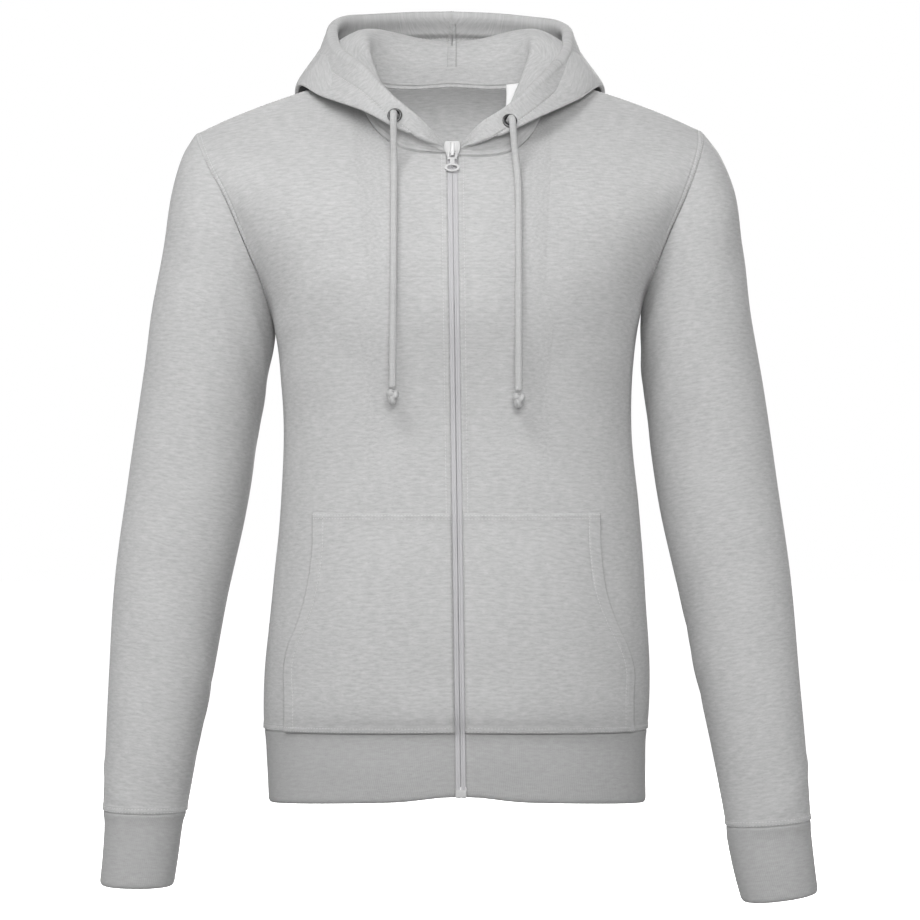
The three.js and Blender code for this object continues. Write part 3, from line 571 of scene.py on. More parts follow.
def dress(kind, node, side, points, thickness, relief, around=False, rim=2):
    """A piece of cloth: its outer face stands out from the cut by relief, its inner face lies behind it. The
    left pieces' grids are the right ones' mirrored, so their faces are turned round."""
    tail = f"_{side}" if side else ""
    flip = side == "left"
    normals = grid_normals(points, around) * (-1 if flip else 1)
    outer = points + normals * relief[..., None]
    inner = points - normals * np.broadcast_to(thickness, points.shape[:2])[..., None]
    SURFACES[kind + tail] = (outer, normals, inner)
    return stands_for(cloth_wall(kind + tail, outer, inner, flip, around, rim), node + tail)


def whole_grid(columns, rows):
    return np.meshgrid(columns, rows, indexing="ij")


# Folds of the front and the back on charts of x and z, and of the sleeves on charts of degrees and
# millimetres down from the armhole: p0, q0, p1, q1, width, height, bow

FRONT_FOLDS = {
    "right": [
        (176, -232, 96, -168, 16, 1.4, 8), (182, -250, 112, -214, 12, -1.0, 6),
        (172, -262, 100, -262, 18, 1.0, -6), (212, -120, 150, -160, 22, 1.2, 8),
        (150, -560, 168, -430, 12, 0.9, 4), (176, -500, 176, -330, 16, 0.8, 6),
        (30, -590, 120, -596, 8, 0.6, 3),
    ],
    "left": [
        (-166, -252, -84, -178, 16, 1.5, -8), (-170, -268, -104, -226, 12, -1.0, -6),
        (-164, -286, -96, -276, 18, 1.1, 6), (-206, -124, -146, -166, 22, 1.2, -8),
        (-150, -560, -164, -430, 12, 0.9, -4), (-170, -520, -160, -350, 16, 0.8, -6),
        (-36, -588, -120, -594, 8, 0.6, -3),
    ],
}
BACK_FOLDS = [
    (-150, -150, 150, -140, 30, 1.6, 14), (-160, -250, -60, -190, 20, 1.6, 10),
    (168, -240, 70, -180, 20, 1.6, -10), (-150, -560, 20, -520, 18, -1.4, 10),
    (150, -540, -10, -500, 20, 1.6, -12), (-140, -420, 60, -390, 22, 1.8, 16),
    (120, -450, -40, -440, 18, -1.4, -10), (-90, -320, 110, -350, 26, 1.4, -14),
    (60, -590, -100, -585, 12, 1.2, 4),
]
SLEEVE_FOLDS = {
    "right": [
        (100, 30, 210, 80, 12, 1.3, 8), (90, 60, 200, 130, 14, -1.2, 8), (130, 300, 250, 335, 9, -0.8, 6),
        (120, 340, 240, 350, 10, 0.8, -4), (140, 385, 235, 372, 9, -0.7, 5), (20, 590, 200, 600, 9, 1.2, 3),
        (150, 570, 330, 560, 9, 1.3, -3), (-60, 602, 80, 606, 6, 0.9, 2), (210, 250, 330, 300, 16, 1.2, 10),
        (-40, 120, 60, 180, 24, 1.0, 12),
    ],
    "left": [
        (100, 36, 205, 90, 12, 1.3, 8), (92, 66, 200, 138, 14, -1.2, 8), (125, 330, 245, 352, 9, -0.8, -6),
        (130, 360, 230, 372, 10, 0.8, 4), (140, 410, 250, 400, 9, -0.7, -5), (30, 585, 190, 592, 9, 1.2, -3),
        (140, 565, 320, 572, 9, 1.3, 3), (-70, 598, 70, 603, 6, 0.9, 2), (200, 240, 330, 285, 16, 1.2, -10),
        (-30, 130, 70, 200, 24, 1.0, -12),
    ],
}


def make_front(side):
    """One front panel, from the zip to the side seam and armhole, hem to neckline and shoulder."""
    across, row = whole_grid(ease(64, ZIP_EDGE, SIDE_EDGE), ease(190, SEAM_EDGE, SEAM_EDGE))
    points = panel_point("front", side, across, row, ZIP_HALF)
    zip_edge, side_edge, hem, top = edges(points)
    upper = smooth(ARMPIT - 0.01, ARMPIT + 0.03, row)
    relief = allowance(hem, HEM_ALLOWANCE, 0.6, SEAM_ROWS)
    relief += allowance(zip_edge, ZIP_ALLOWANCE, 0.5, (ZIP_ROW,)) * smooth(0, 2, hem)
    relief += allowance(side_edge, SEAM_ALLOWANCE, 0.5, SEAM_ROWS) * upper + dip(side_edge) * (1 - upper)
    relief += dip(top) * smooth(0, 3, zip_edge) * smooth(0, 3, side_edge)
    folds = soft_folds(points[..., 0], points[..., 2], FRONT_FOLDS[side])
    relief += folds * smooth(4, 26, side_edge) * smooth(6, 20, hem) * smooth(8, 30, zip_edge)
    return dress("cloth_front", "front", side, points, KNIT, relief)


def back_point(across, row):
    """Both halves of the back: across runs from the right edge (1) through the spine (0) to the left (-1)."""
    right = panel_point("back", "right", np.maximum(across, 0), row, 0)
    left = panel_point("back", "left", np.maximum(-across, 0), row, 0)
    return np.where((across >= 0)[..., None], right, left)


def make_back():
    """The back panel in one piece."""
    half = ease(56, (), SIDE_EDGE)
    across, row = whole_grid(np.concatenate([half[::-1], -half[1:]]), ease(190, SEAM_EDGE, SEAM_EDGE))
    points = back_point(across, row)
    right, left, hem, top = edges(points)
    edge = np.minimum(right, left)
    upper = smooth(ARMPIT - 0.01, ARMPIT + 0.03, row)
    shoulder = smooth(NECK_CORNER - 0.01, NECK_CORNER + 0.01, np.abs(across))
    relief = allowance(hem, HEM_ALLOWANCE, 0.6, SEAM_ROWS)
    relief += allowance(edge, SEAM_ALLOWANCE, 0.5, SEAM_ROWS) * upper + dip(edge) * (1 - upper)
    relief += allowance(top, SEAM_ALLOWANCE, 0.5, SEAM_ROWS) * shoulder + dip(top) * (1 - shoulder)
    folds = soft_folds(points[..., 0], points[..., 2], BACK_FOLDS)
    relief += folds * smooth(4, 40, edge) * smooth(6, 24, hem) * smooth(4, 30, top)
    return dress("cloth_back", "back", None, points, KNIT, relief)


def band_point(place, level):
    """The hem band from the zip (0) round the right side (1), spine (2) and left side (3) to the zip (4)."""
    quarters = [
        body_point("front", "right", np.clip(place, 0, 1), level, ZIP_HALF),
        body_point("back", "right", np.clip(2 - place, 0, 1), level, 0),
        body_point("back", "left", np.clip(place - 2, 0, 1), level, 0),
        body_point("front", "left", np.clip(4 - place, 0, 1), level, ZIP_HALF),
    ]
    return np.choose(np.clip(np.floor(place), 0, 3).astype(int)[..., None], quarters)


def make_band():
    """The rib band at the hem, folded double, from zip to zip."""
    quarter = ease(60, BAND_END, BAND_END)
    place = np.unique(np.concatenate([quarter + k for k in range(4)]))
    place, level = whole_grid(place, lerp(-0.1, 0, ease(24, ROLL_EDGE, (0.008, 0.02, 0.035))))
    points = band_point(place, level)
    start, end, foot, top = edges(points)
    relief = -0.9 * hump(top, 1.2) - 0.8 * hump(np.minimum(start, end), 1.2) + rolled(foot)
    return dress("rib_hem_band", "hem_band", None, points, RIB, relief, rim=5)


def make_sleeve(side):
    """One sleeve, a tube from the armhole to the cuff seam."""
    turn, level = whole_grid(np.arange(120) / 120, ease(200, (0.0008, 0.002, 0.004), SEAM_EDGE))
    points = sleeve_point(side, turn, level)
    start, end = edges(points)[2:]
    relief = dip(start) + allowance(end, HEM_ALLOWANCE, 0.45, SEAM_ROWS)
    degrees = turn * 360
    folds = sum(soft_folds(degrees + spin, start, SLEEVE_FOLDS[side]) for spin in (-360, 0))
    relief += folds * smooth(4, 30, start) * smooth(5, 14, end)
    return dress("cloth_sleeve", "sleeve", side, points, KNIT, relief, around=True)


def make_cuff(side):
    """One rib cuff, folded double."""
    turn, level = whole_grid(np.arange(120) / 120, lerp(1, 1.12, ease(28, (0.008, 0.02), ROLL_EDGE)))
    points = sleeve_point(side, turn, level)
    seam, end = edges(points)[2:]
    relief = rolled(end) - 0.9 * hump(seam, 1.2)
    return dress("rib_cuff", "cuff", side, points, RIB, relief, around=True, rim=5)


def eyelet_frame(side):
    """Where an eyelet sits on the hood, and which way it faces."""
    station, t = EYELET[side]
    at = lambda s, u: hood_point(side, s, u)
    along = at(station + 0.02, t) - at(station - 0.02, t)
    upward = at(station, t + 0.05) - at(station, t - 0.05)
    return at(station, t), unit(np.cross(along, upward)) * SIGN[side]


def hood_grid(side):
    rise = np.linspace(0, 1, 37)
    drop = np.linspace(1, 2, 47)[1:]
    climb = 2 + np.concatenate([np.linspace(0, 0.78, 50)[1:], np.linspace(0.78, HOOD_RIM, 44)[1:]])
    t = np.concatenate([rise, [0.01, 0.03], drop, climb])
    station, t = whole_grid(ease(120, (0.001, 0.003), (0.0015, 0.004, 0.007)), np.unique(t))
    return station, t, hood_point(side, station, t)


def make_hood(side):
    """One half of the hood, from the neck seam over the ridge and round the fold to the face edge, where the
    cloth is turned in to make the drawcord's tunnel. The eyelet's hole is cut through its outer layer."""
    station, t, points = hood_grid(side)
    middle, neck, edge = edges(points)[1:]
    centre, facing = eyelet_frame(side)
    clear = 1 - np.exp(-((np.linalg.norm(points - centre, axis=-1) / 8.5) ** 4))
    full = smooth(0.03, 0.14, station) * smooth(1.2, 2.0, t)
    puff = 1.5 * np.sin(math.pi * np.clip(0.25 + 0.75 * edge / TUNNEL, 0, 1))
    groove = hump(edge - TUNNEL, 0.9) * smooth(2, 9, middle)
    relief = full * clear * (puff - 1.1 * groove)
    throat = smooth(0.03, 0.09, station) * (1 - smooth(0.22, 0.4, station))
    relief += 2.2 * hump(t - 2, 0.22) * throat
    relief += allowance(neck, SEAM_ALLOWANCE, 0.8, (6.2,))
    relief += allowance(middle, CENTRE_ALLOWANCE, 0.35, (CENTRE_ROW,)) * smooth(0, 3, neck)
    roll = full * smooth(0.22, 0.5, station)
    thickness = 2.4 + full * 3.0 * (1 - smooth(TUNNEL - 5, TUNNEL + 1, edge))
    thickness += roll * 5.0 * hump(edge, 9) - full * 0.9 * groove * smooth(0.3, 0.5, station)
    piece = dress("cloth_hood", "hood", side, points, thickness, relief, rim=7)
    bpy.ops.mesh.primitive_cylinder_add(vertices=40, radius=EYELET_HOLE["radius"] * MM,
                                        depth=EYELET_HOLE["depth"] * MM)
    cutter = bpy.context.object
    cutter.location = (centre - facing * EYELET_HOLE["behind"]) * MM
    cutter.rotation_mode = "QUATERNION"
    cutter.rotation_quaternion = Vector(facing).to_track_quat("Z", "Y")
    hole = piece.modifiers.new("eyelet hole", "BOOLEAN")
    hole.object, hole.solver = cutter, "MANIFOLD"
    bpy.context.view_layer.update()
    cut = bpy.data.meshes.new_from_object(piece.evaluated_get(bpy.context.evaluated_depsgraph_get()))
    piece.modifiers.clear()
    piece.data = cut
    cut.name = piece.name
    bpy.data.objects.remove(cutter)
    return piece


def front_seat(side, x, z):
    """Where the front lies at a given x and z: the panel's own parameters, found by Newton steps."""
    across = np.full(np.shape(x), 0.5)
    level = np.full(np.shape(x), 0.3)
    step = 1e-4
    for _ in range(40):
        here = body_point("front", side, across, level, ZIP_HALF)
        east = (body_point("front", side, across + step, level, ZIP_HALF) - here) / step
        north = (body_point("front", side, across, level + step, ZIP_HALF) - here) / step
        gap_x, gap_z = x - here[..., 0], z - here[..., 2]
        spread = east[..., 0] * north[..., 2] - north[..., 0] * east[..., 2]
        move_across = (gap_x * north[..., 2] - gap_z * north[..., 0]) / spread
        move_level = (east[..., 0] * gap_z - east[..., 2] * gap_x) / spread
        across = np.clip(across + np.clip(move_across, -0.1, 0.1), 1e-4, 0.999)
        level = np.clip(level + np.clip(move_level, -0.1, 0.1), -0.1, 0.9)
    return body_point("front", side, across, level, ZIP_HALF)


def make_pocket(side):
    """One half of the split front pocket: the front's own points, moved out, with a swell in the middle."""
    share, climb = whole_grid(ease(60, (), POCKET_MOUTH), ease(66, POCKET_EDGE, POCKET_EDGE))
    sign = SIGN[side]
    hem = body_point("front", side, np.linspace(0, 1, 400), 0, ZIP_HALF)
    z = lerp(POCKET["low"], POCKET["top"], climb)
    for _ in range(2):
        x = zip_x(z) + sign * lerp(POCKET["start"], read(POCKET[side], "z", "reach", z), share)
        seam = np.interp(sign * x[:, 0], sign * hem[:, 0], hem[:, 2]) + 0.4
        z = lerp(seam[:, None], POCKET["top"], climb)
    seat = front_seat(side, x, z)
    out = grid_normals(seat) * sign
    swell = POCKET["swell"] * np.sin(math.pi * share) * np.sin(math.pi * climb)
    points = seat + out * (POCKET["lift"] + swell)[..., None]
    mouth, foot, top = edges(points)[1:]
    relief = allowance(top, HEM_ALLOWANCE, 0.4, SEAM_ROWS)
    relief += allowance(foot, HEM_ALLOWANCE, 0.5, SEAM_ROWS) + 0.5
    relief += 0.6 * (1 - smooth(POCKET_HEM - 1, POCKET_HEM + 1.5, mouth))
    relief -= 0.8 * hump(mouth - POCKET_HEM, 0.7)
    return dress("cloth_pocket", "pocket", side, points, POCKET_KNIT, relief, rim=3)


def along_edge(name, axis, end, distance, inner=False):
    """A line on a finished piece at a set distance from one edge of its grid, with the normals under it."""
    outer, normals, lining = SURFACES[name]
    points = lining if inner else outer
    turned = [np.swapaxes(a, 0, 1) if axis == 1 else a for a in (points, normals, outer)]
    if end == 1:
        turned = [a[::-1] for a in turned]
    run = edge_distance(turned[2], 0, 0)
    i = np.clip((run < distance).sum(0) - 1, 0, len(run) - 2)[None]
    low, high = np.take_along_axis(run, i, 0), np.take_along_axis(run, i + 1, 0)
    share = np.clip((distance - low) / np.maximum(high - low, 1e-9), 0, 1)[..., None]
    pick = lambda a: (np.take_along_axis(a, i[..., None], 0) * (1 - share)
                      + np.take_along_axis(a, i[..., None] + 1, 0) * share)[0]
    return pick(turned[0]), unit(pick(turned[1])) * (-1 if inner else 1)


def stitches(line, normals, pitch, length, thickness):
    """A row of stitches along a line. Each is a bowed grain of thread: rings of six points whose height over
    the cloth follows sin(πs), with the thread's width tapered at both ends."""
    run = run_of(line)
    count = max(int(run[-1] / pitch), 1)
    s = np.linspace(0, 1, 5)
    at = (np.arange(count) + 0.2)[:, None] * (run[-1] / count) + s * length
    take = lambda values: np.stack([np.interp(at, run, values[:, k]) for k in range(3)], -1)
    centre, out = take(line), unit(take(normals))
    ahead = unit(np.gradient(centre, axis=1))
    aside = np.cross(out, ahead)
    lift = thickness * (np.sin(math.pi * s) * 0.9 - 0.35)
    radius = thickness / 2 * (0.45 + 0.55 * np.sin(math.pi * s) ** 0.5)
    angle = spokes(6)
    rings = (centre + out * lift[None, :, None])[:, :, None]
    rings = rings + out[:, :, None] * (radius[:, None] * np.cos(angle))[None, :, :, None] * 0.8
    rings = rings + aside[:, :, None] * (radius[:, None] * np.sin(angle))[None, :, :, None]
    number = np.arange(rings[..., 0].size).reshape(count, 5, 6)
    caps = np.concatenate([number[:, 0], number[:, -1, ::-1]])
    return rings.reshape(-1, 3), ring_faces(number)[:, TURNED_ROUND], caps


def sew(name, rows, pitch, thickness):
    """One piece of thread from several rows of stitches."""
    points, quads, caps, start = [], [], [], 0
    for line, normals in rows:
        p, q, c = stitches(line, normals, pitch, pitch * 0.72, thickness)
        points.append(p)
        quads.append(q + start)
        caps.append(c + start)
        start += len(p)
    piece = new_mesh(name, np.concatenate(points), [np.concatenate(quads), np.concatenate(caps)])
    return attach(piece, "garment")


def part_of(row, first, last):
    """The stretch of a row between two shares of its length."""
    line, normals = row
    a, b = int(first * (len(line) - 1)), int(last * (len(line) - 1)) + 1
    return line[a:b], normals[a:b]


def closed(row):
    line, normals = row
    return np.concatenate([line, line[:1]]), np.concatenate([normals, normals[:1]])


def topstitch_rows():
    """Every row of topstitching, by the piece it is sewn on."""
    rows = {}
    for side in SIGN:
        front, pocket, sleeve, hood = (f"cloth_{kind}_{side}" for kind in STITCHED)
        rows[f"thread_front_{side}"] = [
            *(along_edge(front, 1, 0, d) for d in SEAM_ROWS),
            part_of(along_edge(front, 0, 0, ZIP_ROW), 0.012, 0.985),
            *(part_of(along_edge(front, 0, 1, d), *ARMHOLE_PART) for d in SEAM_ROWS),
        ]
        rows[f"thread_pocket_{side}"] = [
            *(along_edge(pocket, 1, end, d) for d in SEAM_ROWS for end in (0, 1)),
            part_of(along_edge(pocket, 0, 1, POCKET_HEM), 0.04, 0.98),
        ]
        rows[f"thread_sleeve_{side}"] = [closed(along_edge(sleeve, 1, 1, d)) for d in SEAM_ROWS]
        rows[f"thread_hood_{side}"] = [
            part_of(along_edge(hood, 1, 1, TUNNEL), 0.13, 1),
            part_of(along_edge(hood, 1, 1, TUNNEL, True), 0.16, 1),
            part_of(along_edge(hood, 0, 1, CENTRE_ROW), 0.03, 0.985),
        ]
    back = "cloth_back"
    rows["thread_back"] = [
        *(along_edge(back, 1, 0, d) for d in SEAM_ROWS),
        *(part_of(along_edge(back, 0, end, d), *ARMHOLE_PART) for end in (0, 1) for d in SEAM_ROWS),
        *(part_of(along_edge(back, 1, 1, d), *part) for d in SEAM_ROWS for part in SHOULDER_PARTS),
    ]
    return rows


def zip_face(z):
    """How far forward the zip lies at a height: on the fronts' edges, and upright above the neck seam."""
    level = np.linspace(-0.1, 0.9, 2001)
    line = body_point("front", "right", 0 * level, level, 0)
    return np.interp(np.minimum(z, ZIP_BEND), line[:, 2], line[:, 1])


def make_zip_tape(side):
    """One side of the closed zip: a knitted strip whose section has a round bead beside the middle groove and
    a lower one beside the cloth. It parts from its neighbour under the slider."""
    sign = SIGN[side]
    z = np.concatenate([np.linspace(ZIP_FOOT[1], -100, 260), np.linspace(-99, ZIP_TOP[1], 60)])
    share = np.array([0, 0, 0.05, 0.13, 0.24, 0.34, 0.42, 0.48, 0.54, 0.62, 0.74, 0.86, 0.95, 1, 1])
    height = np.array([-1.3, 0.25, 0.6, 0.85, 0.95, 0.88, 0.6, 0.3, 0.4, 0.55, 0.6, 0.55, 0.4, 0.15, -1.3])
    inner = 0.15 + smooth(-86, -76, z) * 2
    x = zip_x(z)[:, None] + sign * lerp(inner[:, None], ZIP_HALF - 0.1, share[None])
    y = zip_face(z)[:, None] + 0.3 - height[None] + 0 * x
    rings = np.stack([x, y, z[:, None] + 0 * x], -1)
    uv = np.stack([np.broadcast_to(share * 4.5, x.shape), np.broadcast_to(z[:, None], x.shape)], -1)
    if side == "left":
        rings, uv = rings[:, ::-1], uv[:, ::-1]
    return stands_for(tube(f"zip_strip_{side}", rings, uv), f"zip_tape_{side}")


def enamelled(node, name, body, width):
    """A hard piece of the zip: its solid with its doubles merged and its edges rounded."""
    mesh = frame["nodes"][node].data.copy()
    work = bmesh.new()
    work.from_mesh(mesh)
    bmesh.ops.remove_doubles(work, verts=work.verts, dist=2e-6)
    bmesh.ops.dissolve_limit(work, angle_limit=0.01, verts=work.verts, edges=work.edges)
    work.to_mesh(mesh)
    work.free()
    mesh.materials.clear()
    mesh.name = name
    piece = link(name, mesh)
    bevel = piece.modifiers.new("rounded edges", "BEVEL")
    bevel.width, bevel.segments, bevel.limit_method = width * MM, 3, "ANGLE"
    bevel.angle_limit = math.radians(32)
    bevel.harden_normals = True
    mesh.polygons.foreach_set("use_smooth", np.full(len(mesh.polygons), True))
    return stands_for(piece, node, body)


def make_eyelet(side):
    """A rolled metal eyelet: its section, turned about the hole's axis, runs up the barrel, over the round
    lip and down to the cloth."""
    centre, facing = eyelet_frame(side)
    turn = np.linspace(0, math.pi, 13)
    roll = np.stack([5.55 - 1.35 * np.cos(turn), 0.75 + 1.35 * np.sin(turn)], -1)
    barrel, skirt = [[4.2, -3.6], [4.2, -1.5]], [[6.9, 0.3], [6.6, 0.15], [4.75, 0.1], [4.75, -3.6]]
    section = np.concatenate([barrel, roll, skirt])
    angle = spokes(EYELET_SIDES)
    first = unit(np.cross(facing, [0, 0, 1.0]))
    second = np.cross(facing, first)
    spin = np.cos(angle)[:, None] * first + np.sin(angle)[:, None] * second
    rings = centre + section[None, :, :1] * spin[:, None] + section[None, :, 1:] * facing
    number = np.arange(rings[..., 0].size).reshape(rings.shape[:2])
    faces = ring_faces(np.concatenate([number, number[:1]]))
    return stands_for(new_mesh(f"eyelet_{side}", rings, [faces]), f"grommet_{side}")


# The drawcord's two free ends, from the eyelets over the neck seam and down the chest

CORD_ROUTE = {
    "right": [
        [52.8, -77.1, -47.3], [53.6, -81.3, -45.8], [54.3, -85.2, -44.8], [55, -88.9, -46],
        [55.5, -91.3, -49.6], [55.9, -92.2, -55], [56.6, -92, -64], [57.6, -91.6, -75], [59, -92.2, -87],
        [60, -97, -99], [60.5, -104.5, -112], [60.6, -112.5, -128], [60.6, -119.5, -146],
        [60.5, -125.5, -168], [60.4, -129.3, -192], [60.4, -131, -218], [60.4, -131.3, -244],
        [60.4, -131, -270], [60.4, -130.6, -295],
    ],
    "left": [
        [-52, -78.9, -42.3], [-52.6, -83.2, -41.1], [-53, -87, -40.4], [-53.2, -90.6, -41.8],
        [-53.2, -92.8, -45.5], [-53.1, -93.6, -51], [-53, -93.3, -61], [-52.8, -92.3, -73],
        [-52.6, -92.4, -86], [-52.5, -97, -98], [-52.4, -104.5, -111], [-52.3, -112.5, -127],
        [-52.2, -119.8, -145], [-52.2, -126, -167], [-52.3, -130, -190], [-52.5, -131.8, -216],
        [-52.7, -132, -242], [-52.9, -131.6, -267], [-53, -131.2, -292],
    ],
}


def smooth_line(route, steps):
    """A centripetal Catmull-Rom curve through a route: on each stretch a cubic whose end slopes weigh the
    neighbouring stretches by the square roots of their lengths."""
    p = np.array(route, float)
    p = np.concatenate([[2 * p[0] - p[1]], p, [2 * p[-1] - p[-2]]])
    d = np.sqrt(np.linalg.norm(np.diff(p, axis=0), axis=-1))[:, None]
    d0, d1, d2 = d[:-2], d[1:-1], d[2:]
    a, b, c, e = p[:-3], p[1:-2], p[2:-1], p[3:]
    leave = ((b - a) / d0 - (c - a) / (d0 + d1) + (c - b) / d1) * d1
    arrive = ((c - b) / d1 - (e - b) / (d1 + d2) + (e - c) / d2) * d1
    u = (np.arange(steps) / steps)[None, :, None]
    line = ((2 * u ** 3 - 3 * u ** 2 + 1) * b[:, None] + (u ** 3 - 2 * u ** 2 + u) * leave[:, None]
            + (3 * u ** 2 - 2 * u ** 3) * c[:, None] + (u ** 3 - u ** 2) * arrive[:, None])
    return np.concatenate([line.reshape(-1, 3), p[-2:-1]])


def cord_skin(name, line, towards, radius, wide, sides, flat=1.0):
    """A round knitted cord about its line. Each ring's first direction leans as near as it can towards a
    given one, and the cut is as wide as a circle of the plain radius."""
    ahead = unit(np.gradient(line, axis=0))
    first = unit(towards - ahead * (towards * ahead).sum(-1, keepdims=True))
    second = np.cross(ahead, first)
    angle = spokes(sides)
    wide = np.broadcast_to(wide, len(line))[:, None, None]
    rings = (line[:, None] + first[:, None] * np.cos(angle)[None, :, None] * wide
             + second[:, None] * np.sin(angle)[None, :, None] * wide * flat)
    return tube(name, rings, np.stack(np.broadcast_arrays(angle * radius, run_of(line)[:, None]), -1))


def make_cord(side):
    """One free end of the knitted drawcord, its overhand knot with it."""
    line = smooth_line(CORD_ROUTE[side], 16)
    run = run_of(line)
    wide = CORD_RADIUS * (1 + 0.025 * np.sin(run / 9.0 + (0.7 if side == "left" else 0)))
    sideways = np.array([1.0, 0, 0])
    piece = cord_skin(f"drawcord_length_{side}", line, sideways, CORD_RADIUS, wide, CORD_SIDES, 0.93)
    stands_for(piece, f"drawcord_{side}")
    u = np.linspace(-0.12, 1.12, 120) * TURN * 0.86 + 0.44
    loop = np.stack([1.3 * (np.sin(u) + 1.35 * np.sin(2 * u)), -1.7 * np.sin(3 * u),
                     1.95 * (np.cos(u) - 1.5 * np.cos(2 * u))], -1)
    loop = line[-1] + np.array([0, 0, -KNOT_DROP]) + loop
    knot = cord_skin(f"drawcord_knot_{side}", loop, loop - loop.mean(0), KNOT_RADIUS, KNOT_RADIUS, KNOT_SIDES)
    stands_for(knot, f"knot_{side}")
    return piece, knot


def make_neck_tape():
    """The tape that covers the back neck seam, on the lining side just above it."""
    sides = []
    for side in SIGN:
        station, t = whole_grid(np.linspace(0.62, 1, 50), np.linspace(0.04, 0.28, 16))
        points = hood_point(side, station, t)
        out = grid_normals(points) * SIGN[side]
        out[-1, :, 0] = 0
        sides.append((points - out * 2.5, -out))
    points = np.concatenate([sides[0][0], sides[1][0][::-1][1:]])
    normals = unit(np.concatenate([sides[0][1], sides[1][1][::-1][1:]]))
    low, high = edges(points)[2:]
    relief = -0.35 * hump(np.minimum(low, high) - 1.6, 0.5)
    outer = points + normals * (relief + 0.9)[..., None]
    piece = cloth_wall("neck_tape_strip", outer, points + normals * 0.1, True, False, 2)
    return stands_for(piece, "neck_tape")


def make_label():
    """The small bare label, sewn into the back neck seam and hanging just inside it."""
    a, b = (neck_point("right", np.array(station)) for station in LABEL_STATIONS)
    inward = unit(np.array([-(b - a)[1], (b - a)[0], 0]))
    station, drop = whole_grid(np.linspace(*LABEL_STATIONS, 10), np.linspace(-LABEL_DROP, 2.4, 24))
    top = neck_point("right", station)
    curl = 0.9 * (drop / LABEL_DROP) ** 2
    points = top + inward * (2.75 + curl)[..., None]
    points[..., 2] = top[..., 2] + drop
    piece = cloth_wall("neck_label_tab", points + inward * 0.3, points - inward * 0.2, True, False, 2)
    return stands_for(piece, "neck_label")


def make_hood_tape():
    """The flat tape over the hood's centre seam, on the lining side from the neck to the tunnel."""
    away = (4.9, 3.4, 1.8, 0.4)
    lines = [along_edge("cloth_hood_right", 0, 1, d, True) for d in away]
    lines += [along_edge("cloth_hood_left", 0, 1, d, True) for d in away[::-1]]
    points, normals = (np.stack([line[k] for line in lines])[:, 6:-6] for k in (0, 1))
    outer = points + normals * 0.75
    piece = cloth_wall("hood_seam_tape", outer, points + normals * 0.05, True, False, 2)
    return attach(piece, "garment")


# Materials

class Value:
    """A socket of a node tree that can be used in arithmetic. Each operation adds its Math node."""

    def __init__(self, tree, socket):
        self.tree = tree
        self.socket = socket

    def math(self, operation, *others):
        return self.tree.node("ShaderNodeMath", {"operation": operation}, [self, *others])

    def __add__(self, other):
        return self.math("ADD", other)

    def __sub__(self, other):
        return self.math("SUBTRACT", other)

    def __rsub__(self, other):
        return self.tree.node("ShaderNodeMath", {"operation": "SUBTRACT"}, [other, self])

    def __mul__(self, other):
        return self.math("MULTIPLY", other)

    __radd__ = __add__
    __rmul__ = __mul__

    def __truediv__(self, other):
        return self.math("DIVIDE", other)


class Tree:
    """A material's nodes. Every node but the shader comes from node()."""

    def __init__(self, name, block=None):
        self.material = block or bpy.data.materials.new(name)
        self.material.use_nodes = True
        self.nodes = self.material.node_tree.nodes
        self.links = self.material.node_tree.links
        self.shader = self.nodes.get("Principled BSDF")

    def node(self, kind, settings=None, values=(), output=0):
        """Adds a node, makes its settings, then gives its sockets values or links, by place or by name."""
        made = self.nodes.new(kind)
        for name, setting in (settings or {}).items():
            setattr(made, name, setting)
        for key, value in values.items() if isinstance(values, dict) else enumerate(values):
            if value is not None:
                self.put(made.inputs[key], value)
        return Value(self, made.outputs[output])

    def put(self, socket, value):
        if isinstance(value, Value):
            self.links.new(value.socket, socket)
        else:
            socket.default_value = value

    def set(self, **values):
        """Sets or links sockets of the shader, named with underscores for spaces."""
        for name, value in values.items():
            self.put(self.shader.inputs[name.replace("_", " ")], value)

    def cut(self):
        """The piece's own flat-cut map, in metres: the place across and the place along."""
        place = self.node("ShaderNodeUVMap", {"uv_map": "cut"})
        split = self.node("ShaderNodeSeparateXYZ", None, [place])
        return place, split, Value(self, split.socket.node.outputs[1])

    def noise(self, place, scale, detail=2.0, rough=0.5):
        return self.node("ShaderNodeTexNoise", None,
                         {"Vector": place, "Scale": scale, "Detail": detail, "Roughness": rough})

    def grain(self, place, across, along, detail=2.0, rough=0.5, turn=0.0):
        """Noise on the flat cut, with its own scale in each direction."""
        place = self.node("ShaderNodeMapping", None,
                          {"Vector": place, "Scale": (across, along, 1), "Rotation": (0, 0, turn)})
        return self.noise(place, 1.0, detail, rough)

    def own_place(self):
        """The place on the piece itself, in its object's axes."""
        return self.node("ShaderNodeTexCoord", None, (), 3)

    def mix(self, share, first, second):
        return self.node("ShaderNodeMix", {"data_type": "RGBA"}, {0: share, 6: first, 7: second}, 2)

    def fine(self, edge, low, high):
        """(edge − low)/(high − low), held between 0 and 1."""
        return self.node("ShaderNodeMapRange", {"clamp": True}, [edge, low, high, 0.0, 1.0])

    def bump(self, height, distance, strength):
        """Links the shader's normal to a height, and gives the finished material."""
        self.set(Normal=self.node(
            "ShaderNodeBump", None, {"Strength": strength, "Distance": distance, "Height": height}))
        return self.material


def grey(shade):
    """A neutral colour of a linear shade."""
    return (shade, shade, shade, 1.0)


def wave(value):
    """0.5 + 0.5 · sin(2π · value)."""
    return (value * 2 * math.pi).math("SINE") * 0.5 + 0.5


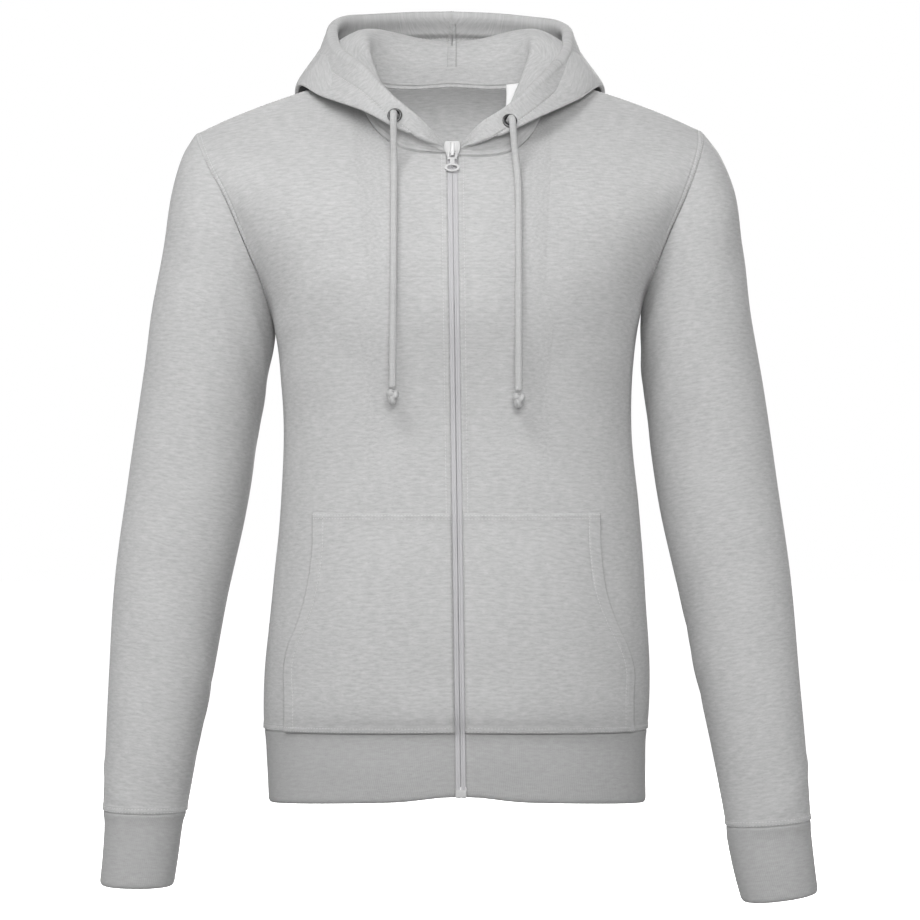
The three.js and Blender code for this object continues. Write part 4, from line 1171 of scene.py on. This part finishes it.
def knit_relief(tree, across, along, wale, course):
    """Rows of V stitches: (0.5 + 0.5·sin(2π·lean − π/2)) · (0.35 + 0.65·wave(along/course + 1.1·lean)), where
    lean runs from 0 to 0.5 and back over each wale, so that the loops read as nested Vs."""
    lean = (across / wale).math("PINGPONG", 0.5)
    ridge = (lean * 2 * math.pi - math.pi / 2).math("SINE") * 0.5 + 0.5
    return ridge * (wave(along / course + lean * 1.1) * 0.65 + 0.35)


def heather(tree, place, shade, spread):
    """The marled grey of blended fibres: short streaks that lie along the courses, darker flecks, and a slow
    unevenness of the dye. Its shade runs from shade · (1 − spread) to shade · (1 + spread) as
    0.5 + 2.6 · (streak − 0.5) + 0.5 · (cloud − 0.5) runs from 0 to 1."""
    streak = tree.grain(place, 105, 430, 4.0, 0.68, 0.06)
    fleck = tree.grain(place, 330, 1100, 1.0, turn=-0.05)
    cloud = tree.grain(place, 16, 22)
    share = (streak - 0.5) * 2.6 + (cloud - 0.5) * 0.5 + 0.5
    plain = tree.mix(share.math("MAXIMUM", 0.0).math("MINIMUM", 1.0),
                     grey(shade * (1 - spread)), grey(shade * (1 + spread)))
    dark = tree.fine(fleck, 0.6, 0.74) * 0.4
    return tree.mix(dark, plain, grey(shade * 0.7)), share


def jersey(name, shade, spread=0.1):
    """Brushed sweatshirt knit."""
    tree = Tree(name)
    place, across, along = tree.cut()
    colour, share = heather(tree, place, shade, spread)
    relief = knit_relief(tree, across, along, 0.00125, 0.0011)
    fuzz = tree.grain(place, 1400, 1400, rough=0.6)
    tree.set(Base_Color=colour, Roughness=0.93 + fuzz * 0.05, Specular_IOR_Level=0.18, Sheen_Weight=0.14,
             Sheen_Roughness=0.5)
    return tree.bump(relief * 0.75 + fuzz * 0.25 + share * 0.12, 0.00016, 0.8)


def ribbing(name, shade):
    """Rib knit: rounded ribs that run up the band, with a valley of purl between them."""
    tree = Tree(name)
    place, across, along = tree.cut()
    colour, _ = heather(tree, place, shade, 0.09)
    rib = tree.fine(wave(across / 0.0019), 0.06, 0.75)
    loops = knit_relief(tree, across, along, 0.00135, 0.0012)
    fuzz = tree.grain(place, 1300, 1300, rough=0.6)
    shadow = tree.mix((1 - rib) * 0.1, colour, grey(shade * 0.62))
    tree.set(Base_Color=shadow, Roughness=0.93 + fuzz * 0.05, Specular_IOR_Level=0.16, Sheen_Weight=0.12,
             Sheen_Roughness=0.5)
    return tree.bump(rib * 0.7 + loops * 0.2 + fuzz * 0.16, 0.0002, 0.55)


def cord_knit(name, shade):
    """A round drawcord of fine tubular knit."""
    tree = Tree(name)
    place, across, along = tree.cut()
    colour, share = heather(tree, place, shade, 0.07)
    loops = knit_relief(tree, across, along, 0.00165, 0.00155)
    # Painted shade: the colour darkens towards 0.6 of the shade in the valleys between the knit loops.
    valley = tree.mix((1 - loops) * 0.28, colour, grey(shade * 0.6))
    tree.set(Base_Color=valley, Roughness=0.85 + share * 0.08, Specular_IOR_Level=0.22, Sheen_Weight=0.1,
             Sheen_Roughness=0.5)
    return tree.bump(loops, 0.0003, 0.9)


def zip_knit(name, shade):
    """The zip's woven strip: fine cross ribs, a little smoother and cooler than the cloth beside it."""
    tree = Tree(name)
    place, _, along = tree.cut()
    ribs = wave(along / 0.0011)
    grain = tree.grain(place, 1500, 1500)
    worn = tree.grain(place, 40, 60)
    base = tree.mix(worn, (shade * 0.95, shade * 0.94, shade * 0.97, 1),
                    (shade * 1.03, shade * 1.02, shade * 1.05, 1))
    # Painted shade: the colour darkens towards 0.6 of the shade in the valleys between the cross ribs.
    tree.set(Base_Color=tree.mix((1 - ribs) * 0.22, base, grey(shade * 0.6)), Roughness=0.62 + grain * 0.2,
             Specular_IOR_Level=0.3)
    return tree.bump(ribs * 0.7 + grain * 0.3, 0.00014, 0.7)


def thread(name, shade):
    """Polyester sewing thread."""
    tree = Tree(name)
    place = tree.own_place()
    tone = tree.noise(place, 220.0, 2.0, 0.5)
    twist = tree.noise(place, 2600.0, 1.0, 0.5)
    tree.set(Base_Color=tree.mix(tone, grey(shade * 0.94), grey(shade * 1.05)), Roughness=0.55 + twist * 0.2,
             Specular_IOR_Level=0.35)
    return tree.bump(twist, 0.00008, 0.6)


def enamel(name, shade):
    """Glossy white enamel over cast metal, very slightly uneven."""
    tree = Tree(name)
    place = tree.own_place()
    pool = tree.noise(place, 260.0, 2.0, 0.5)
    rub = tree.fine(tree.noise(place, 900.0, 3.0, 0.6), 0.62, 0.8)
    tree.set(Base_Color=tree.mix(rub * 0.3, grey(shade), grey(shade * 0.86)),
             Roughness=0.3 + pool * 0.1 + rub * 0.12, Coat_Weight=0.15, Coat_Roughness=0.2,
             Specular_IOR_Level=0.5)
    return tree.bump(pool, 0.00012, 0.35)


def gunmetal(name, shade):
    """Dark plated metal: brushed by the press, with small bright rubs."""
    tree = Tree(name)
    place = tree.own_place()
    cloud = tree.noise(place, 320.0, 3.0, 0.6)
    rub = tree.fine(tree.noise(place, 1300.0, 2.0, 0.5), 0.58, 0.75)
    tree.set(Base_Color=tree.mix(rub * 0.5, grey(shade), grey(shade * 1.7)), Metallic=1.0,
             Roughness=0.28 + cloud * 0.16)
    return tree.bump(cloud, 0.00006, 0.5)


def satin(name, shade):
    """The bare satin weave of a small sewn-in label."""
    tree = Tree(name)
    place, across, along = tree.cut()
    weft = wave(along / 0.00035)
    warp = wave(across / 0.0005)
    cloud = tree.grain(place, 120, 120)
    tree.set(Base_Color=tree.mix(cloud, grey(shade * 0.94), grey(shade)), Roughness=0.4 + cloud * 0.12,
             Specular_IOR_Level=0.45)
    return tree.bump(weft * 0.6 + warp * 0.4, 0.00006, 0.6)


def paper(name, shade, glow):
    """The studio's white floor."""
    tree = Tree(name)
    place = tree.own_place()
    tone = tree.noise(place, 4.0, 2.0, 0.5)
    tree.set(Base_Color=tree.mix(tone, grey(shade * 0.995), grey(shade)), Roughness=0.9,
             Specular_IOR_Level=0.0, Emission_Color=grey(1.0), Emission_Strength=glow)
    return tree.material


FINISHES = {}
# Painted shade: the tapes on the lining side are drawn in the same jersey made 4% darker.
LINING_PAINTED_SHADE = 0.96
STOP_SHARE = 0.84
LABEL_SHADE = 0.84


def finish(kind):
    """A material by its name in this table, made when it is first asked for."""
    scene = bpy.context.scene
    cloth, trim, stage = scene.hoodie_cloth, scene.hoodie_trim, scene.hoodie_stage
    makers = {
        "jersey": lambda: jersey("heather_jersey", cloth.jersey_shade, cloth.heather),
        # The same jersey with painted shade, a darker copy for the pieces on the inside.
        "lining": lambda: jersey("heather_lining_painted_shade", cloth.jersey_shade * LINING_PAINTED_SHADE, cloth.heather),
        "rib": lambda: ribbing("heather_rib", cloth.rib_shade),
        "thread": lambda: thread("topstitch_thread", trim.thread_shade),
        "strip": lambda: zip_knit("zip_strip_weave", trim.zip_shade),
        "cord": lambda: cord_knit("drawcord_knit", trim.cord_shade),
        "enamel": lambda: enamel("white_enamel", trim.enamel_shade),
        "gunmetal": lambda: gunmetal("gunmetal_plate", trim.eyelet_shade),
        "stop": lambda: enamel("moulded_stop", trim.enamel_shade * STOP_SHARE),
        "label": lambda: satin("bare_label_satin", LABEL_SHADE),
        "paper": lambda: paper("studio_floor", stage.floor_shade, stage.floor_glow),
    }
    if kind not in FINISHES:
        FINISHES[kind] = makers[kind]()
    return FINISHES[kind]


def clothe(pieces, kind):
    """Gives each piece its finish, in a single material slot."""
    for piece in pieces:
        piece.data.materials.clear()
        piece.data.materials.append(finish(kind))
    return {"FINISHED"}


# Settings a user would change

def setting(name, description, default, low, high, **kind):
    return bpy.props.FloatProperty(name=name, description=description, default=default, min=low, max=high,
                                   **kind)


def fraction(name, description, default, low=0.02, high=0.9):
    return setting(name, description, default, low, high, subtype="FACTOR")


def metres(name, description, default, low, high):
    return setting(name, description, default, low, high, unit="LENGTH")


def watts(name, description, default, high=400):
    return setting(name, description, default, 0, high, unit="POWER")


class HoodieCloth(bpy.types.PropertyGroup):
    """The knit and the rib."""

    jersey_shade: fraction("Jersey shade", "Linear shade of the heather knit", 0.43)
    rib_shade: fraction("Rib shade", "Linear shade of the hem band and cuffs", 0.365)
    heather: fraction("Heather", "How far the light and dark fibres lie apart", 0.14, 0, 0.4)


class HoodieTrim(bpy.types.PropertyGroup):
    """Zip, eyelets, drawcord and thread."""

    stitch_pitch: metres("Stitch pitch", "From one stitch to the next", 0.003, 0.0015, 0.006)
    thread_width: metres("Thread width", "Width of the topstitching thread", 0.0006, 0.0002, 0.0015)
    thread_shade: fraction("Thread shade", "Linear shade of the thread", 0.56)
    zip_shade: fraction("Zip strip shade", "Linear shade of the zip's strips", 0.46)
    cord_shade: fraction("Cord shade", "Linear shade of the drawcord", 0.465)
    enamel_shade: fraction("Enamel shade", "Linear shade of the slider, pull and stop", 0.5, 0.1, 0.95)
    eyelet_shade: fraction("Eyelet shade", "Linear shade of the eyelets' metal", 0.1)


class HoodieStage(bpy.types.PropertyGroup):
    """Floor, lights and camera."""

    camera_distance: metres("Camera distance", "From the camera to the middle of the body", 3.0, 1, 10)
    frame_width: metres("Frame width", "What the camera sees at that distance", 0.8648, 0.3, 3)
    floor_height: metres("Floor height", "Where the floor lies", -1.0, -3, -0.8)
    floor_shade: fraction("Floor shade", "Linear shade of the floor", 0.92, 0.1, 1)
    floor_glow: fraction("Floor glow", "A little light of the floor's own", 0.8, 0, 1)
    surround: setting("Surround", "Strength of the even light from all round", 0.34, 0, 3)
    key_power: watts("Key light", "Power of the soft lamp in front, above and a little to the left", 33)
    fill_power: watts("Fill light", "Power of the soft lamp above the camera", 29)
    side_power: watts("Side lights", "Power of each of the two soft lamps at the sides", 13)
    back_power: watts("Back light", "Power of the soft lamp behind and above", 120)
    collar_power: watts("Collar light", "Power of the small hidden lamp inside the neck", 0.12, 10)


# What each piece of cloth is cut to: width and length in millimetres, the share of that rectangle it
# fills, and the pieces it hangs from

BACK = ["cloth_back"]
CUT = {
    "cloth_front": (325, 660, 0.65, BACK),
    "cloth_back": (535, 675, 0.82, ()),
    "rib_hem_band": (960, 70, 0.99, ["cloth_front_right", "cloth_front_left", "cloth_back"]),
    "cloth_sleeve": (470, 660, 0.63, BACK),
    "rib_cuff": (247, 72, 0.9, []),
    "cloth_hood": (500, 525, 0.355, BACK),
    "cloth_pocket": (182, 211, 0.82, []),
    "neck_tape_strip": (160, 19, 0.95, BACK),
    "hood_seam_tape": (10.2, 490, 0.955, ["cloth_hood_right", "cloth_hood_left"]),
    "neck_label_tab": (15, 21.6, 1, BACK),
}


def both(make):
    return [make("right"), make("left")]


class HOODIE_OT_fronts(bpy.types.Operator):
    """Makes the two front panels"""

    bl_idname = "hoodie.fronts"
    bl_label = "Fronts"

    def execute(self, context):
        return clothe(both(make_front), "jersey")


class HOODIE_OT_back(bpy.types.Operator):
    """Makes the back panel"""

    bl_idname = "hoodie.back"
    bl_label = "Back"

    def execute(self, context):
        return clothe([make_back()], "jersey")


class HOODIE_OT_hem_band(bpy.types.Operator):
    """Makes the rib band round the hem"""

    bl_idname = "hoodie.hem_band"
    bl_label = "Hem band"

    def execute(self, context):
        return clothe([make_band()], "rib")


class HOODIE_OT_sleeves(bpy.types.Operator):
    """Makes the two sleeves"""

    bl_idname = "hoodie.sleeves"
    bl_label = "Sleeves"

    def execute(self, context):
        return clothe(both(make_sleeve), "jersey")


class HOODIE_OT_cuffs(bpy.types.Operator):
    """Makes the two rib cuffs"""

    bl_idname = "hoodie.cuffs"
    bl_label = "Cuffs"

    def execute(self, context):
        return clothe(both(make_cuff), "rib")


class HOODIE_OT_hood(bpy.types.Operator):
    """Makes the two halves of the hood and the tape over the seam between them"""

    bl_idname = "hoodie.hood"
    bl_label = "Hood"

    def execute(self, context):
        clothe(both(make_hood), "jersey")
        return clothe([make_hood_tape()], "lining")


class HOODIE_OT_pockets(bpy.types.Operator):
    """Makes the two halves of the front pocket"""

    bl_idname = "hoodie.pockets"
    bl_label = "Pockets"

    def execute(self, context):
        return clothe(both(make_pocket), "jersey")


class HOODIE_OT_neck(bpy.types.Operator):
    """Makes the back neck tape and the small bare label"""

    bl_idname = "hoodie.neck"
    bl_label = "Neck tape and label"

    def execute(self, context):
        clothe([make_neck_tape()], "lining")
        return clothe([make_label()], "label")


class HOODIE_OT_zip(bpy.types.Operator):
    """Makes the zip's strips, slider, pull and bottom stop"""

    bl_idname = "hoodie.zip"
    bl_label = "Zip"

    def execute(self, context):
        clothe(both(make_zip_tape), "strip")
        clothe([enamelled("zip_slider", "slider_body", "garment", 0.5)], "enamel")
        clothe([enamelled("zip_pull", "slider_pull", "pull_tab", 0.35)], "enamel")
        return clothe([enamelled("zip_stop", "bottom_stop", "garment", 0.4)], "stop")


class HOODIE_OT_eyelets(bpy.types.Operator):
    """Makes the two metal eyelets of the hood"""

    bl_idname = "hoodie.eyelets"
    bl_label = "Eyelets"

    def execute(self, context):
        return clothe(both(make_eyelet), "gunmetal")


class HOODIE_OT_drawcords(bpy.types.Operator):
    """Makes the two free ends of the drawcord and their knots"""

    bl_idname = "hoodie.drawcords"
    bl_label = "Drawcords"

    def execute(self, context):
        right, left = both(make_cord)
        return clothe([*right, *left], "cord")


class HOODIE_OT_topstitching(bpy.types.Operator):
    """Sews the rows of thread"""

    bl_idname = "hoodie.topstitching"
    bl_label = "Topstitching"

    def execute(self, context):
        trim = context.scene.hoodie_trim
        for name, rows in topstitch_rows().items():
            clothe([sew(name, rows, trim.stitch_pitch / MM, trim.thread_width / MM)], "thread")
        return {"FINISHED"}


class HOODIE_OT_cut_list(bpy.types.Operator):
    """Goes over the pieces named in the cut list, and says nothing about them"""

    bl_idname = "hoodie.cut_list"
    bl_label = "Cut list"

    def execute(self, context):
        for piece in list(context.scene.objects):
            kind = piece.name.removesuffix("_right").removesuffix("_left")
            if kind not in CUT:
                continue
        return {"FINISHED"}


VIEW_MIDDLE = (0.00752, 0, -0.3572)
SENSOR = 36
FLOOR_RADIUS = 14000
FLOOR_SIDES = 64
# Each lamp's setting, share of it, size, place and the point that it faces
LAMPS = {
    "key": ("key_power", 1, 1.3, (-0.85, -1.7, 1.6), (0, 0, -0.1)),
    "fill": ("fill_power", 1, 0.8, (0.1, -2.2, 0.25), (0, 0, -0.1)),
    "left": ("side_power", 1, 1.3, (-2.6, -0.9, 0.1), (0, 0, -0.4)),
    "right": ("side_power", 0.75, 1.3, (2.6, -0.9, 0.1), (0, 0, -0.4)),
    "behind": ("back_power", 1, 1.6, (0.5, 2.9, 1.0), (0, 0, -0.3)),
    "collar": ("collar_power", 1, 0.1, (0, -0.01, -0.17), (0, 0.085, -0.03)),
}


def add_lamp(name, power, size, place, at):
    lamp = bpy.data.lights.new(name, "AREA")
    lamp.shape, lamp.size, lamp.energy = "DISK", size, power
    made = link(name, lamp)
    made.location = place
    made.rotation_mode = "QUATERNION"
    made.rotation_quaternion = (Vector(at) - made.location).to_track_quat("-Z", "Y")
    made.visible_camera = False


def white_studio(strength):
    """A white room: the walls look white, and the light they give is even and softer than they look."""
    tree = Tree("studio", bpy.data.worlds.new("studio"))
    light = tree.node("ShaderNodeBackground", None, [grey(1.0), strength])
    wall = tree.node("ShaderNodeBackground", None, [grey(1.0), 1.0])
    seen = tree.node("ShaderNodeLightPath")
    room = tree.node("ShaderNodeMixShader", None, [seen, light, wall])
    tree.put(tree.nodes["World Output"].inputs["Surface"], room)
    return tree.material


class HOODIE_OT_stage(bpy.types.Operator):
    """Sets the floor, the lights and the camera"""

    bl_idname = "hoodie.stage"
    bl_label = "Stage"

    def execute(self, context):
        scene, stage = context.scene, context.scene.hoodie_stage
        scene.view_settings.view_transform = "Standard"
        camera = link("camera", bpy.data.cameras.new("camera"))
        camera.data.sensor_width = SENSOR
        camera.data.lens = SENSOR * stage.camera_distance / stage.frame_width
        camera.data.clip_end = 50
        camera.location = Vector(VIEW_MIDDLE) - Vector((0, stage.camera_distance, 0))
        camera.rotation_euler = (math.pi / 2, 0, 0)
        scene.camera = camera
        scene.world = white_studio(stage.surround)
        for name, (group, share, size, place, at) in LAMPS.items():
            add_lamp(name, getattr(stage, group) * share, size, place, at)
        turn = spokes(FLOOR_SIDES)
        rim = np.stack([np.cos(turn), np.sin(turn), 0 * turn], -1) * FLOOR_RADIUS
        rim[:, 2] = stage.floor_height / MM
        floor = new_mesh("floor", rim, [np.arange(FLOOR_SIDES)[None]], flat=True)
        clothe([floor], "paper")
        floor.visible_diffuse = False
        return {"FINISHED"}


class HOODIE_PT_panel(bpy.types.Panel):
    """Lists the pieces in the order they are made"""

    bl_idname = "HOODIE_PT_panel"
    bl_label = "Hoodie"
    bl_space_type = "VIEW_3D"
    bl_region_type = "UI"
    bl_category = "Hoodie"

    def draw(self, context):
        for group in (context.scene.hoodie_cloth, context.scene.hoodie_trim, context.scene.hoodie_stage):
            box = self.layout.box()
            for name in group.__annotations__:
                box.prop(group, name)
        for step in STEPS:
            self.layout.operator(step.bl_idname)


STEPS = (
    HOODIE_OT_stage, HOODIE_OT_drawcords, HOODIE_OT_fronts, HOODIE_OT_back, HOODIE_OT_hem_band,
    HOODIE_OT_sleeves, HOODIE_OT_cuffs, HOODIE_OT_hood, HOODIE_OT_pockets, HOODIE_OT_neck, HOODIE_OT_zip,
    HOODIE_OT_eyelets, HOODIE_OT_topstitching, HOODIE_OT_cut_list,
)
GROUPS = (HoodieCloth, HoodieTrim, HoodieStage)
CLASSES = (*GROUPS, *STEPS, HOODIE_PT_panel)


def register():
    for item in CLASSES:
        bpy.utils.register_class(item)
    bpy.types.Scene.hoodie_cloth = bpy.props.PointerProperty(type=HoodieCloth)
    bpy.types.Scene.hoodie_trim = bpy.props.PointerProperty(type=HoodieTrim)
    bpy.types.Scene.hoodie_stage = bpy.props.PointerProperty(type=HoodieStage)


def unregister():
    del bpy.types.Scene.hoodie_stage
    del bpy.types.Scene.hoodie_trim
    del bpy.types.Scene.hoodie_cloth
    for item in reversed(CLASSES):
        bpy.utils.unregister_class(item)


def main():
    register()
    for step in STEPS:
        group, name = step.bl_idname.split(".")
        getattr(getattr(bpy.ops, group), name)()


if __name__ == "__main__":
    main()
